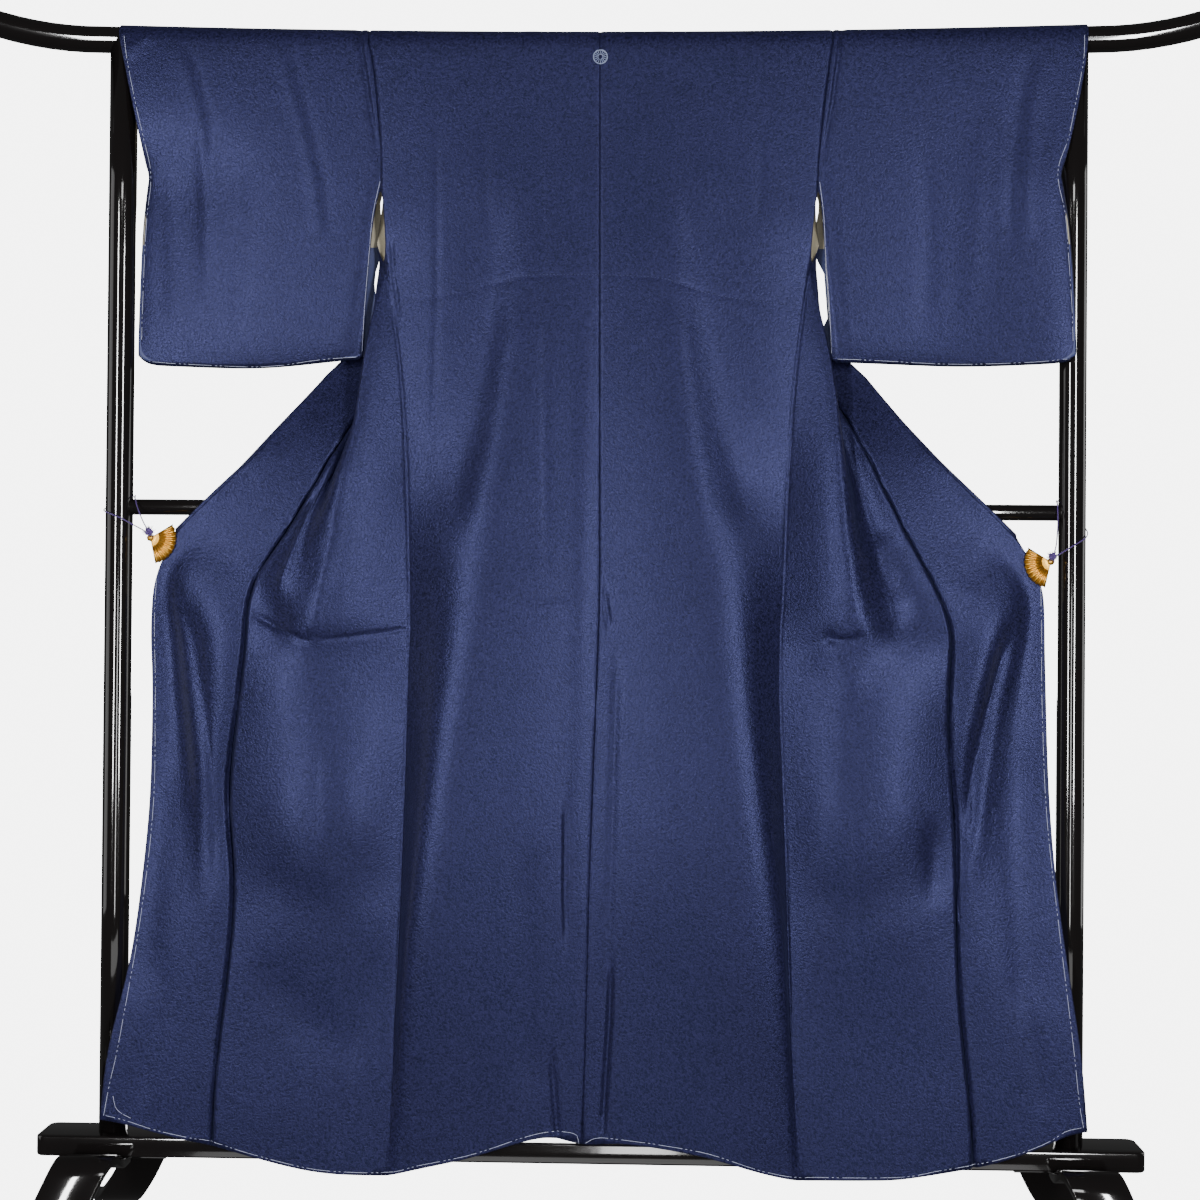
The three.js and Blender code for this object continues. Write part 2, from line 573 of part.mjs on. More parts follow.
function railGeometry(radius) {
  const points = [];
  for (let k = -18; k <= 18; k++) {
    const x = RAIL_END * Math.sin((k / 18) * Math.PI / 2.6) / Math.sin(Math.PI / 2.6);
    points.push(new THREE.Vector3(x, 0, railZ(x)));
  }
  return rod(points, radius, 30, 16);
}

function uprightGeometry(x) {
  const bottom = PLANK.bottom + PLANK.height + SEAM;
  const height = railZ(POST_X) - bottom;
  const post = new THREE.CylinderGeometry(POST_R, POST_R, height, 28);
  post.rotateX(Math.PI / 2);
  post.translate(0, 0, bottom + height / 2);
  const rail = railGeometry(RAIL_R + SEAM);
  rail.translate(-x, 0, 0);
  return fromManifold(toManifold(post).subtract(toManifold(rail)));
}

function middleRailGeometry() {
  const bar = new THREE.CylinderGeometry(MID_R, MID_R, 2 * POST_X, 24);
  bar.rotateZ(Math.PI / 2);
  bar.translate(0, 0, MID_Z);
  let solid = toManifold(bar);
  [-POST_X, POST_X].forEach((x) => {
    const post = new THREE.CylinderGeometry(POST_R + SEAM, POST_R + SEAM, 6 * MID_R, 28);
    post.rotateX(Math.PI / 2);
    post.translate(x, 0, MID_Z);
    solid = solid.subtract(toManifold(post));
  });
  return fromManifold(solid);
}

function plankGeometry() {
  const { length, width, height, bottom, corner } = PLANK;
  const [l, w] = [length / 2, width / 2];
  const shape = new THREE.Shape();
  shape.moveTo(-l + corner, -w);
  shape.lineTo(l - corner, -w);
  shape.absarc(l - corner, -w + corner, corner, -Math.PI / 2, 0, false);
  shape.absarc(l - corner, w - corner, corner, 0, Math.PI / 2, false);
  shape.absarc(-l + corner, w - corner, corner, Math.PI / 2, Math.PI, false);
  shape.absarc(-l + corner, -w + corner, corner, Math.PI, 1.5 * Math.PI, false);
  const board = new THREE.ExtrudeGeometry(shape, { depth: height, bevelEnabled: false, curveSegments: 5 });
  board.translate(0, 0, bottom);
  return board;
}

// Middle line of a leg from under the plank to the floor: distance outward, height, sideways.
const LEG_LINE = [
  [6, 115, 0], [40, 114.8, 0], [57, 120.5, 0], [72, 127.5, 2], [88, 127, 6], [100, 116, 12],
  [107, 98, 20], [112, 76, 30], [119, 54, 42], [130, 33, 56], [146, 16, 70], [162, 7, 82],
  [192, 7, 97],
];

// A wide curved band: the leg's side outline drawn out to its width, leaning sideways as it falls.
function legGeometry(width, out) {
  const half = LEG.thick / 2;
  const line = LEG_LINE.map(([y, z]) => new THREE.Vector2(y, z));
  const upper = [];
  const lower = [];
  line.forEach((p, i) => {
    const t = new THREE.Vector2().subVectors(line[Math.min(i + 1, line.length - 1)], line[Math.max(i - 1, 0)]);
    t.normalize();
    if (p.y === half) t.set(1, 0);
    upper.push([p.x - t.y * half, p.y + t.x * half]);
    lower.push([p.x + t.y * half, p.y - t.x * half]);
  });
  const outline = [...upper, ...lower.reverse()];
  const stations = [...LEG_LINE, ...[...LEG_LINE].reverse()];
  const shape = new THREE.Shape(outline.map(([y, z]) => new THREE.Vector2(y, z)));
  const band = strip(new THREE.ExtrudeGeometry(shape, { depth: width, bevelEnabled: false }));
  const corners = band.attributes.position;
  for (let i = 0; i < corners.count; i++) {
    const [y, z, across] = [corners.getX(i), corners.getY(i), corners.getZ(i)];
    const station = outline.findIndex(([oy, oz]) => Math.hypot(oy - y, oz - z) < 0.01);
    corners.setXYZ(i, out * (across - width / 2 + stations[station][2]), y, z);
  }
  const geometry = band.toNonIndexed();
  if (out > 0) return geometry;
  return strip(mirrored(geometry));
}

// Turns the triangles over after a mirror, so that they face out again.
function mirrored(geometry) {
  const g = geometry.index ? geometry.toNonIndexed() : geometry;
  const p = g.attributes.position;
  for (let i = 0; i < p.count; i += 3) {
    const b = [p.getX(i + 1), p.getY(i + 1), p.getZ(i + 1)];
    p.setXYZ(i + 1, p.getX(i + 2), p.getY(i + 2), p.getZ(i + 2));
    p.setXYZ(i + 2, ...b);
  }
  return g;
}

function addLeg(name, x, width, front) {
  const out = Math.sign(x);
  let g = legGeometry(width, out);
  g = strip(g);
  if (front < 0) {
    g.scale(1, -1, 1);
    g = strip(mirrored(g));
  }
  g.computeVertexNormals();
  addMesh(name, g, 'lacquer').position.set(x, 0, 0);
}

// ---------------------------------------------------------------- clips and cords

// A fan-shaped plate with a scalloped rim, drawn in the XZ plane about its pivot.
function sector(radius, from, to, ribs, scallop, front, thick) {
  const shape = new THREE.Shape();
  shape.moveTo(0, 0);
  const steps = ribs * 4;
  for (let k = 0; k <= steps; k++) {
    const a = THREE.MathUtils.degToRad(lerp(from, to, k / steps));
    const r = radius - scallop * (1 - Math.abs(Math.sin(Math.PI * k / 4)));
    shape.lineTo(r * Math.cos(a), r * Math.sin(a));
  }
  shape.closePath();
  const plate = new THREE.ExtrudeGeometry(shape, { depth: thick, bevelEnabled: false });
  plate.rotateX(Math.PI / 2);
  plate.translate(0, front + thick, 0);
  return plate;
}

function clipGeometry({ from, to }) {
  const fan = sector(FAN.radius, from, to, FAN.ribs, FAN.scallop, FAN.back - FAN.thick, FAN.thick);
  const jaw = sector(JAW.radius, from, to, 1, 0, JAW.front, JAW.thick);
  const depth = JAW.front + JAW.thick - FAN.back + FAN.thick;
  const barrel = new THREE.CylinderGeometry(BARREL_R, BARREL_R, depth, 20);
  barrel.translate(0, FAN.back - FAN.thick + depth / 2, 0);
  return fromManifold(toManifold(barrel).add(toManifold(fan)).add(toManifold(jaw)));
}

// Routes of the cord loops: from the knot over the middle rail, behind the upright, round its
// outer side and back across its front to the knot.
const CORD_ROUTES = {
  left: [
    [-639.5, -36, 1023.5], [-644, -35, 1031], [-650, -31, 1042], [-657, -23, 1055], [-663, -12, 1067],
    [-666, -1, 1072.5], [-669, 9.5, 1072], [-677, 18.8, 1068.5], [-689, 22.2, 1064], [-701, 18.6, 1059.5],
    [-709.3, 9.5, 1055.5], [-711.2, -2, 1052], [-706, -14.5, 1048.5], [-694, -22, 1044],
    [-679, -26.5, 1038], [-663, -31.5, 1030], [-650, -35, 1023.5], [-642, -36.5, 1019.5],
  ],
  right: [
    [657.5, -36, 998], [660.5, -33, 1009], [663, -27, 1024], [665, -21, 1040], [666, -15.6, 1056],
    [666.5, -9, 1069], [667.5, 0, 1073.5], [669.5, 9.5, 1072], [677, 19, 1064], [689, 22.2, 1054],
    [701, 18.6, 1045],
    [709.3, 9.5, 1036], [711.2, -2, 1028], [706, -14.5, 1020], [694, -22, 1012.5],
    [681, -27.5, 1005], [670, -32.5, 998.5], [661, -36, 993.5],
  ],
};
const KNOTS = { left: [-636, -36, 1018], right: [655, -36, 992] };

function addClip(name, clip) {
  addMesh(`clip_${name}`, clipGeometry(clip), 'gold').position.set(clip.x, 0, clip.z);
  const knot = strip(new THREE.SphereGeometry(KNOT_R, 10, 8));
  knot.computeVertexNormals();
  addMesh(`knot_${name}`, knot, 'cord').position.set(...KNOTS[name]);
  const points = CORD_ROUTES[name].map((p) => new THREE.Vector3(...p));
  addMesh(`cord_${name}`, rod(points, CORD_D / 2, 36, 8), 'cord');
}

// ---------------------------------------------------------------- assembly

const halves = Object.entries(SIDES).map(([name, side]) => {
  const body = layBody(name, side);
  const okumi = layOkumi(name, side);
  laySleeve(name, side, body);
  return collarLine(side, body, okumi);
});
const collar = [...halves[0].slice(0, -1), ...halves[1].reverse()];
addPatch('collar', collar.map((_, i) => collarRow(collar, i)), false, own);

['left', 'right'].forEach((name) => {
  ['body', 'okumi', 'sleeve'].forEach((piece) => {
    addMesh(`${piece}_${name}`, panelSolid(`${piece}_${name}`), 'silk');
  });
});
addMesh('collar', panelSolid('collar'), 'collar');

addMesh('top_rail', railGeometry(RAIL_R), 'lacquer');
addMesh('upright_left', uprightGeometry(-POST_X), 'lacquer').position.set(-POST_X, 0, 0);
addMesh('upright_right', uprightGeometry(POST_X), 'lacquer').position.set(POST_X, 0, 0);
addMesh('middle_rail', middleRailGeometry(), 'lacquer');
addMesh('base_plank', plankGeometry(), 'lacquer');
addLeg('leg_front_left', -LEG.frontX, LEG.width, -1);
addLeg('leg_front_right', LEG.frontX, LEG.width, -1);
addLeg('leg_rear_left', -LEG.rearX, LEG.rearWidth, 1);
addLeg('leg_rear_right', LEG.rearX, LEG.rearWidth, 1);
Object.entries(CLIPS).forEach(([name, clip]) => addClip(name, clip));

export default root;
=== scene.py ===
import math
import random

import bmesh
import bpy
from mathutils import Matrix, Vector
from mathutils.bvhtree import BVHTree
from mathutils.kdtree import KDTree


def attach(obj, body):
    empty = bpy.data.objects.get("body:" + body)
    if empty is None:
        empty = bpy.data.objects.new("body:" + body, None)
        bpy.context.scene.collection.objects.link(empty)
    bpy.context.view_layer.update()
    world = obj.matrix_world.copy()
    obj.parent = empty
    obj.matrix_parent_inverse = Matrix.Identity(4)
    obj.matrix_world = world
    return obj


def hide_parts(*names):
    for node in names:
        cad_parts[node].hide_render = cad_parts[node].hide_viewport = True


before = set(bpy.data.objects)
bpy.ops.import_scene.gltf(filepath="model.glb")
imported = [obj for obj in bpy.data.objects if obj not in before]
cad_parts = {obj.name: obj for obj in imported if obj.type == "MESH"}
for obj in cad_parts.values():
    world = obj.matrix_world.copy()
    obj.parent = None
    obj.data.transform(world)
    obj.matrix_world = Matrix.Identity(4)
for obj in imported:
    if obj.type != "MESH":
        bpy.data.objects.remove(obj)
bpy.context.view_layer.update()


# ------------------------ camera and lights
# The garment is seen from the back at waist height, nearly square on, before plain white. Two
# tall narrow lamps in front raise the sheen of the silk and draw thin lines on the lacquer.
EYE = Vector((0.0939, -2.840, 0.8961))
LENS, SENSOR = 58.96, 36
NEAREST, FURTHEST = 0.05, 60    # what the camera takes in, in metres
WHITE_SEEN, WHITE_LIT = 6.0, 0.05    # strength of the white surround, as seen and as a light
yaw, pitch, roll = math.radians(1.649), math.radians(0.599), math.radians(0.470)
ahead = Vector((-math.sin(yaw) * math.cos(pitch), math.cos(yaw) * math.cos(pitch), math.sin(pitch)))
level_right = Vector((math.cos(yaw), math.sin(yaw), 0))
level_up = level_right.cross(ahead)
cam_right = level_right * math.cos(roll) + level_up * math.sin(roll)
cam_up = level_up * math.cos(roll) - level_right * math.sin(roll)
camera = bpy.data.objects.new("camera", bpy.data.cameras.new("camera"))
camera.data.lens, camera.data.sensor_width = LENS, SENSOR
camera.data.clip_start, camera.data.clip_end = NEAREST, FURTHEST
camera.matrix_world = Matrix((cam_right, cam_up, -ahead)).transposed().to_4x4()
camera.location = EYE
bpy.context.scene.collection.objects.link(camera)
bpy.context.scene.camera = camera

# name, place, aim, width and height, watts
LAMPS = (("key_left", (-1.82, -3.9, 1.28), (-0.2, 0, 0.95), (0.34, 2.0), 190),
         ("key_right", (1.84, -3.9, 1.28), (0.2, 0, 0.95), (0.34, 2.0), 206),
         ("low_middle", (0.1, -4.3, 0.1), (0, 0, 0.6), (0.34, 1.8), 36),
         ("high_middle", (0.1, -4.3, 2.8), (0, 0, 1.4), (0.9, 0.7), 24),
         ("low_bounce", (0, -2.6, -1.3), (0, 0, 0.2), (3.0, 0.8), 12),
         ("soft_back", (-0.5, 4.6, 1.5), (0, 0, 0.95), (2.4, 1.8), 200),
         ("wall_left", (-3.0, -0.4, 1.2), (0, 0, 1.0), (1.6, 2.6), 16),
         ("wall_right", (3.0, 0.6, 1.2), (0, 0, 1.0), (1.0, 2.6), 14))
for name, at, aim, size, watts in LAMPS:
    light = bpy.data.lights.new(name, "AREA")
    light.shape, light.size, light.size_y, light.energy = "RECTANGLE", size[0], size[1], watts
    obj = bpy.data.objects.new(name, light)
    obj.location = at
    obj.rotation_euler = (Vector(aim) - Vector(at)).to_track_quat("-Z", "Y").to_euler()
    bpy.context.scene.collection.objects.link(obj)


def linear(code):
    """An sRGB hex colour as a linear RGBA value."""
    parts = [int(code[i:i + 2], 16) / 255 for i in (1, 3, 5)]
    return (*[c / 12.92 if c <= 0.04045 else ((c + 0.055) / 1.055) ** 2.4 for c in parts], 1.0)


def add_node(tree, kind, inputs=None, **settings):
    """Adds a node with its settings; inputs are values, or sockets to link from."""
    n = tree.nodes.new(kind)
    for key, value in settings.items():
        setattr(n, key, value)
    for key, value in (inputs or {}).items():
        if isinstance(value, bpy.types.NodeSocket):
            tree.links.new(value, n.inputs[key])
        else:
            n.inputs[key].default_value = value
    return n


def finish(name, **values):
    """A new material whose shader has these uniform values; returns it, its tree and shader."""
    made = bpy.data.materials.new(name)
    made.use_nodes = True
    shader = made.node_tree.nodes["Principled BSDF"]
    for key, value in values.items():
        shader.inputs[key.replace("_", " ")].default_value = value
    return made, made.node_tree, shader


world = bpy.data.worlds.new("studio")
world.use_nodes = True
bpy.context.scene.world = world
sky = world.node_tree.nodes["Background"]
rays = add_node(world.node_tree, "ShaderNodeLightPath")
seen = add_node(world.node_tree, "ShaderNodeMix",
                {"Factor": rays.outputs["Is Camera Ray"], 2: WHITE_LIT, 3: WHITE_SEEN})
sky.inputs["Color"].default_value = (1.0, 1.0, 1.0, 1.0)
world.node_tree.links.new(seen.outputs[0], sky.inputs["Strength"])


# ------------------------ cord loops
# A thin purple silk cord of three strands ties each clip to its upright. It runs from its knot
# over the middle rail, behind the upright, round it and back across its front to the knot.
LOOPS = {
    "left": [(-639.5, -36, 1023.5), (-644, -35, 1031), (-650, -31, 1042), (-657, -23, 1055),
             (-663, -12, 1067), (-666, -1, 1072.5), (-669, 9.5, 1072), (-677, 18.8, 1068.5),
             (-689, 22.2, 1064), (-701, 18.6, 1059.5), (-709.3, 9.5, 1055.5), (-711.2, -2, 1052),
             (-706, -14.5, 1048.5), (-694, -22, 1044), (-679, -26.5, 1038), (-663, -31.5, 1030),
             (-650, -35, 1023.5), (-642, -36.5, 1019.5)],
    "right": [(657.5, -36, 998), (660.5, -33, 1009), (663, -27, 1024), (665, -21, 1040),
              (666, -15.6, 1056), (666.5, -9, 1069), (667.5, 0, 1073.5), (669.5, 9.5, 1072),
              (677, 19, 1064), (689, 22.2, 1054), (701, 18.6, 1045), (709.3, 9.5, 1036),
              (711.2, -2, 1028), (706, -14.5, 1020), (694, -22, 1012.5), (681, -27.5, 1005),
              (670, -32.5, 998.5), (661, -36, 993.5)],
}
CORD_R = 0.001
STRANDS, STRAND_DEPTH = 3, 0.07
STRAND_PITCH = 0.007           # one full turn of the strands


def smooth_line(points, steps):
    """A soft curve through the points, with that many steps between two of them."""
    pts = [Vector(p) for p in points]
    ends = [pts[0] * 2 - pts[1], *pts, pts[-1] * 2 - pts[-2]]
    out = []
    for a, b, c, d in zip(ends, ends[1:], ends[2:], ends[3:]):
        for k in range(steps):
            t = k / steps
            out.append(0.5 * (2 * b + (c - a) * t + (2 * a - 5 * b + 4 * c - d) * t * t
                              + (3 * b - a - 3 * c + d) * t ** 3))
    return out + [pts[-1]]


def sweep(bm, path, section, side=Vector((0, 0, 1))):
    """Extrudes a closed section along a path; section(k, along) gives its (across, up) points."""
    ring, along = None, 0.0
    for k, p in enumerate(path):
        t = (path[min(k + 1, len(path) - 1)] - path[max(k - 1, 0)]).normalized()
        across = t.cross(side)
        side = across.cross(t).normalized()
        across.normalize()
        along += (p - path[k - 1]).length if k else 0
        places = [p + across * u + side * v for u, v in section(k, along)]
        if ring is None:
            ring = [bm.verts.new(q) for q in places]
            edges = list(bm.faces.new(ring).edges)
        else:
            made = bmesh.ops.extrude_edge_only(bm, edges=edges)["geom"]
            fresh = [g for g in made if isinstance(g, bmesh.types.BMVert)]
            edges = [g for g in made if isinstance(g, bmesh.types.BMEdge)
                     and all(v in fresh for v in g.verts)]
            # Each fresh vertex keeps its place in the ring of the one it grew from.
            grown = {}
            for v in fresh:
                for e in v.link_edges:
                    o = e.other_vert(v)
                    if o in ring:
                        grown[ring.index(o)] = v
            ring = [grown[i] for i in range(len(ring))]
            for v, q in zip(ring, places):
                v.co = q
    bm.faces.new(ring)
    bmesh.ops.recalc_face_normals(bm, faces=bm.faces)


def new_piece(name, bm, materials, nodes=()):
    """Makes the piece's object, which rides on the frame and stands for its nodes."""
    mesh = bpy.data.meshes.new(name)
    bm.to_mesh(mesh)
    bm.free()
    for f in mesh.polygons:
        f.use_smooth = True
    for m in materials:
        mesh.materials.append(m)
    obj = bpy.data.objects.new(name, mesh)
    bpy.context.scene.collection.objects.link(obj)
    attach(obj, "root")
    if nodes:
        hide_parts(*nodes)
    return obj


def strands(k, along):
    """Section of a twisted cord at a distance along it."""
    turn = 2 * math.pi * along / STRAND_PITCH
    out = []
    for i in range(12):
        a = 2 * math.pi * i / 12
        r = CORD_R * (1 - STRAND_DEPTH + STRAND_DEPTH * math.cos(STRANDS * a))
        out.append((r * math.cos(a + turn), r * math.sin(a + turn)))
    return out


# Spun silk: a dark violet with a soft sheen along the strands.
cord_silk, tree, shader = finish("purple_silk_cord", Roughness=0.55, Sheen_Weight=0.3,
                                 Sheen_Roughness=0.4, Specular_IOR_Level=0.35)
place = add_node(tree, "ShaderNodeTexCoord")
fibre = add_node(tree, "ShaderNodeTexNoise",
                 {"Vector": place.outputs["Object"], "Scale": 900.0, "Detail": 2.0})
tint = add_node(tree, "ShaderNodeMix",
                {"Factor": fibre.outputs[0], 6: linear("#231446"), 7: linear("#49306F")},
                data_type="RGBA")
tree.links.new(tint.outputs[2], shader.inputs["Base Color"])

for side, points in LOOPS.items():
    route = [Vector(p) / 1000 for p in smooth_line(points, 12)]
    bm = bmesh.new()
    sweep(bm, route, strands)
    new_piece(f"cord_loop_{side}", bm, [cord_silk], [f"cord_{side}"])


# ------------------------ rack
# A kimono rack of turned and bent wood under black lacquer: a top rail that curves up at its
# ends, two uprights, a thin middle rail, a plank and four wide bent legs.
RAIL_R, POST_R, MID_R = 0.019, 0.020, 0.0115
RAIL_END, MID_END, POST_X, MID_Z = 0.925, 0.6724, 0.689, 1.0560
RAIL_Z, RAIL_RISE, RAIL_SPAN = 1.728, 0.010, 0.700
BEND_FROM, BEND_DIAMETER = 0.720, 1.050
JOINT = 0.0003                 # gap where two pieces of wood meet
ROUND = 48                     # points round a turned piece
RAIL_END_ROUND, MID_END_ROUND, PLANK_CORNER, PLANK_ROUND = 0.003, 0.0005, 0.014, 0.003
PLANK, PLANK_Z, PLANK_TOP = (1.582, 0.081, 0.029), 0.137, 0.1515


def rail_z(x):
    """Height of the top rail's axis: a slight rise, then the upward curve of the ends."""
    span, bend = min(abs(x), BEND_FROM), max(0.0, abs(x) - BEND_FROM)
    return RAIL_Z + RAIL_RISE * (span / RAIL_SPAN) ** 2 + bend * bend / BEND_DIAMETER


# Lacquer over wood: a near-black gloss coat, faintly uneven, with a little dust in it.
lacquer, tree, shader = finish("black_lacquer", Base_Color=linear("#0D0B0B"), Roughness=0.2, IOR=1.5,
                               Coat_Weight=0.5, Coat_Roughness=0.03)
place = add_node(tree, "ShaderNodeTexCoord")
flow = add_node(tree, "ShaderNodeTexNoise",
                {"Vector": place.outputs["Object"], "Scale": 22.0, "Detail": 3.0})
rub = add_node(tree, "ShaderNodeMapRange", {"Value": flow.outputs[0], "To Min": 0.06, "To Max": 0.12})
tree.links.new(rub.outputs[0], shader.inputs["Roughness"])
peel = add_node(tree, "ShaderNodeTexNoise",
                {"Vector": place.outputs["Object"], "Scale": 120.0, "Detail": 1.0})
skin_bump = add_node(tree, "ShaderNodeBump",
                     {"Height": peel.outputs[0], "Strength": 0.02, "Distance": 0.0006})
tree.links.new(skin_bump.outputs[0], shader.inputs["Normal"])


def round_section(radius):
    """A round section for sweep."""
    turns = [2 * math.pi * i / ROUND for i in range(ROUND)]
    return lambda k, along: [(radius * math.cos(a), radius * math.sin(a)) for a in turns]


def rounded_rod(bm, path, radius, round_off):
    """A rod along a path, its two end edges rounded off."""
    sweep(bm, path, round_section(radius))
    caps = [f for f in bm.faces if len(f.verts) > 4]
    rims = list({e for f in caps for e in f.edges})
    bmesh.ops.bevel(bm, geom=rims, offset=round_off, segments=3, affect="EDGES", profile=0.5, material=-1)


bm = bmesh.new()
xs = [-RAIL_END + 2 * RAIL_END * k / 72 for k in range(73)]
rounded_rod(bm, [Vector((x, 0, rail_z(x))) for x in xs], RAIL_R, RAIL_END_ROUND)
new_piece("rack_top_rail", bm, [lacquer], ["top_rail"])

bm = bmesh.new()
rounded_rod(bm, [Vector((x, 0, MID_Z)) for x in (-MID_END, -0.4, 0, 0.4, MID_END)], MID_R,
            MID_END_ROUND)
new_piece("rack_middle_rail", bm, [lacquer], ["middle_rail"])

for side, sign in (("left", -1), ("right", 1)):
    bm = bmesh.new()
    x = sign * POST_X
    rings = [Vector((x, 0, z)) for z in (PLANK_TOP + JOINT, 0.5, 1.0, 1.5, 1.7)]
    sweep(bm, rings, round_section(POST_R), side=Vector((0, 1, 0)))
    for v in bm.verts:
        if v.co.z > 1.65:
            reach = math.sqrt(max(0.0, (RAIL_R + JOINT) ** 2 - v.co.y ** 2))
            v.co.z = rail_z(v.co.x) - reach
    new_piece(f"rack_upright_{side}", bm, [lacquer], [f"upright_{side}"])

bm = bmesh.new()
bmesh.ops.create_cube(bm, size=1,
                      matrix=Matrix.Translation((0, 0, PLANK_Z)) @ Matrix.Diagonal((*PLANK, 1)))
corners = [e for e in bm.edges if abs(e.verts[0].co.z - e.verts[1].co.z) > 0.02]
bmesh.ops.bevel(bm, geom=corners, offset=PLANK_CORNER, segments=6, affect="EDGES", profile=0.5,
                material=-1)
rims = [e for e in bm.edges if abs(e.verts[0].co.z - e.verts[1].co.z) < 1e-6 and len(e.link_faces) == 2
        and abs(e.link_faces[0].normal.z - e.link_faces[1].normal.z) > 0.5]
bmesh.ops.bevel(bm, geom=rims, offset=PLANK_ROUND, segments=3, affect="EDGES", profile=0.5, material=-1)
new_piece("rack_plank", bm, [lacquer], ["base_plank"])

# Side line of a leg: distance from the rack's middle plane, height, lean to the side.
LEG_LINE = [(6, 115, 0), (40, 114.8, 0), (57, 120.5, 0), (72, 127.5, 2), (88, 127, 6), (100, 116, 12),
            (107, 98, 20), (112, 76, 30), (119, 54, 42), (130, 33, 56), (146, 16, 70), (162, 7, 82),
            (177, 7, 90), (192, 7, 97)]
LEG_HALF, LEG_ROUND = 7, 0.0016    # half of a leg's thickness, in mm; its rounded edges, in m
FOOT_FROM = 162                # where the leg lies flat on the floor
for name, x, depth, width in (("front_left", -699, -1, 80), ("front_right", 699, -1, 80),
                              ("rear_left", -646, 1, 66), ("rear_right", 646, 1, 66)):
    out = math.copysign(1, x)
    line = smooth_line([(y, z, lean) for y, z, lean in LEG_LINE], 4)
    bm = bmesh.new()
    ring = None
    for k, p in enumerate(line):
        t = line[min(k + 1, len(line) - 1)] - line[max(k - 1, 0)]
        t = Vector((t.x, t.y)).normalized()
        if p.x > FOOT_FROM:
            t, p = Vector((1, 0)), Vector((p.x, LEG_HALF, p.z))
        corners = []
        for across, face in ((-1, -1), (1, -1), (1, 1), (-1, 1)):
            y, z = p.x - t.y * LEG_HALF * face, p.y + t.x * LEG_HALF * face
            corners.append(Vector((x + out * p.z + across * width / 2, depth * y, max(0.0, z))) / 1000)
        row = [bm.verts.new(c) for c in corners]
        if ring:
            for i in range(4):
                bm.faces.new((ring[i], ring[(i + 1) % 4], row[(i + 1) % 4], row[i]))
        else:
            bm.faces.new(row)
        ring = row
    bm.faces.new(ring)
    bmesh.ops.recalc_face_normals(bm, faces=bm.faces)
    long_edges = [e for e in bm.edges if e.calc_face_angle(0) > 0.9]
    bmesh.ops.bevel(bm, geom=long_edges, offset=LEG_ROUND, segments=2, affect="EDGES", profile=0.5,
                    material=-1)
    new_piece(f"rack_leg_{name}", bm, [lacquer], [f"leg_{name}"])


# ------------------------ silk and lining
# Navy crepe silk, sewn to a plain lining. The right side shows everywhere from the front; the
# lining shows inside the sleeves, under the arms and behind the opened fronts.
WALL = 0.002                   # wall of the solids that the cloth follows
CLOTH = 0.0014                 # silk, interlining and lining

# Crepe: a dull, finely pebbled silk whose twisted threads scatter light at grazing angles. The pebbles
# are about 1 mm and are drawn a little coarser; their raised tops are painted lighter and the hollows
# between them darker, as painted light and shade on the grain.
crepe, tree, shader = finish("navy_crepe_silk", Roughness=0.32, Sheen_Weight=0.06, Sheen_Roughness=0.4,
                             Sheen_Tint=linear("#7F8BC8"), Specular_IOR_Level=0.6,
                             Specular_Tint=linear("#656A9F"))
place = add_node(tree, "ShaderNodeTexCoord")
pebble = add_node(tree, "ShaderNodeTexNoise", {"Vector": place.outputs["Object"], "Scale": 330.0,
                                               "Detail": 2.0, "Roughness": 0.6, "Distortion": 0.6})
cloud = add_node(tree, "ShaderNodeTexNoise",
                 {"Vector": place.outputs["Object"], "Scale": 9.0, "Detail": 3.0})
# Painted light and shade: the pebbles' raised tops are coloured lighter and the hollows between them
# darker.
pebble_light_and_shade = add_node(tree, "ShaderNodeMapRange",
                {"Value": pebble.outputs[0], "From Min": 0.34, "From Max": 0.66})
deep = add_node(tree, "ShaderNodeMix",
                {"Factor": pebble_light_and_shade.outputs[0], 6: linear("#0B0C1A"), 7: linear("#1D1D38")}, data_type="RGBA")
worn = add_node(tree, "ShaderNodeMapRange", {"Value": cloud.outputs[0], "To Min": 0.8, "To Max": 1.2})
tinted = add_node(tree, "ShaderNodeVectorMath", {0: deep.outputs[2], 1: worn.outputs[0]},
                  operation="MULTIPLY")
tree.links.new(tinted.outputs[0], shader.inputs["Base Color"])
grain = add_node(tree, "ShaderNodeBump",
                 {"Height": pebble.outputs[0], "Strength": 0.6, "Distance": 0.001})
tree.links.new(grain.outputs[0], shader.inputs["Normal"])

# Lining: smooth off-white silk above, coloured an olive grey as painted shade for the shadow it lies in
# inside the garment, and a facing of the navy silk below the hips and in the lower half of the sleeves.
linings = {}
for kind, upto in (("body", 0.93), ("sleeve", 1.438)):
    linings[kind], tree, shader = finish(f"{kind}_lining_silk_painted_shade", Roughness=0.5, Sheen_Weight=0.2,
                                         Specular_IOR_Level=0.3)
    place = add_node(tree, "ShaderNodeTexCoord")
    height = add_node(tree, "ShaderNodeSeparateXYZ", {0: place.outputs["Object"]})
    step = add_node(tree, "ShaderNodeMath", {0: height.outputs["Z"], 1: upto}, operation="GREATER_THAN")
    slub = add_node(tree, "ShaderNodeTexNoise",
                    {"Vector": place.outputs["Object"], "Scale": 300.0, "Detail": 2.0})
    # Painted shade: the off-white lining is coloured olive grey, as it looks in the shade under the arms
    # and behind the fronts.
    pale = add_node(tree, "ShaderNodeMix",
                    {"Factor": slub.outputs[0], 6: linear("#7E7765"), 7: linear("#948D7B")},
                    data_type="RGBA")
    facing = add_node(tree, "ShaderNodeMix",
                      {"Factor": slub.outputs[0], 6: linear("#1B2148"), 7: linear("#2C3563")},
                      data_type="RGBA")
    both = add_node(tree, "ShaderNodeMix",
                    {"Factor": step.outputs[0], 6: facing.outputs[2], 7: pale.outputs[2]},
                    data_type="RGBA")
    tree.links.new(both.outputs[2], shader.inputs["Base Color"])


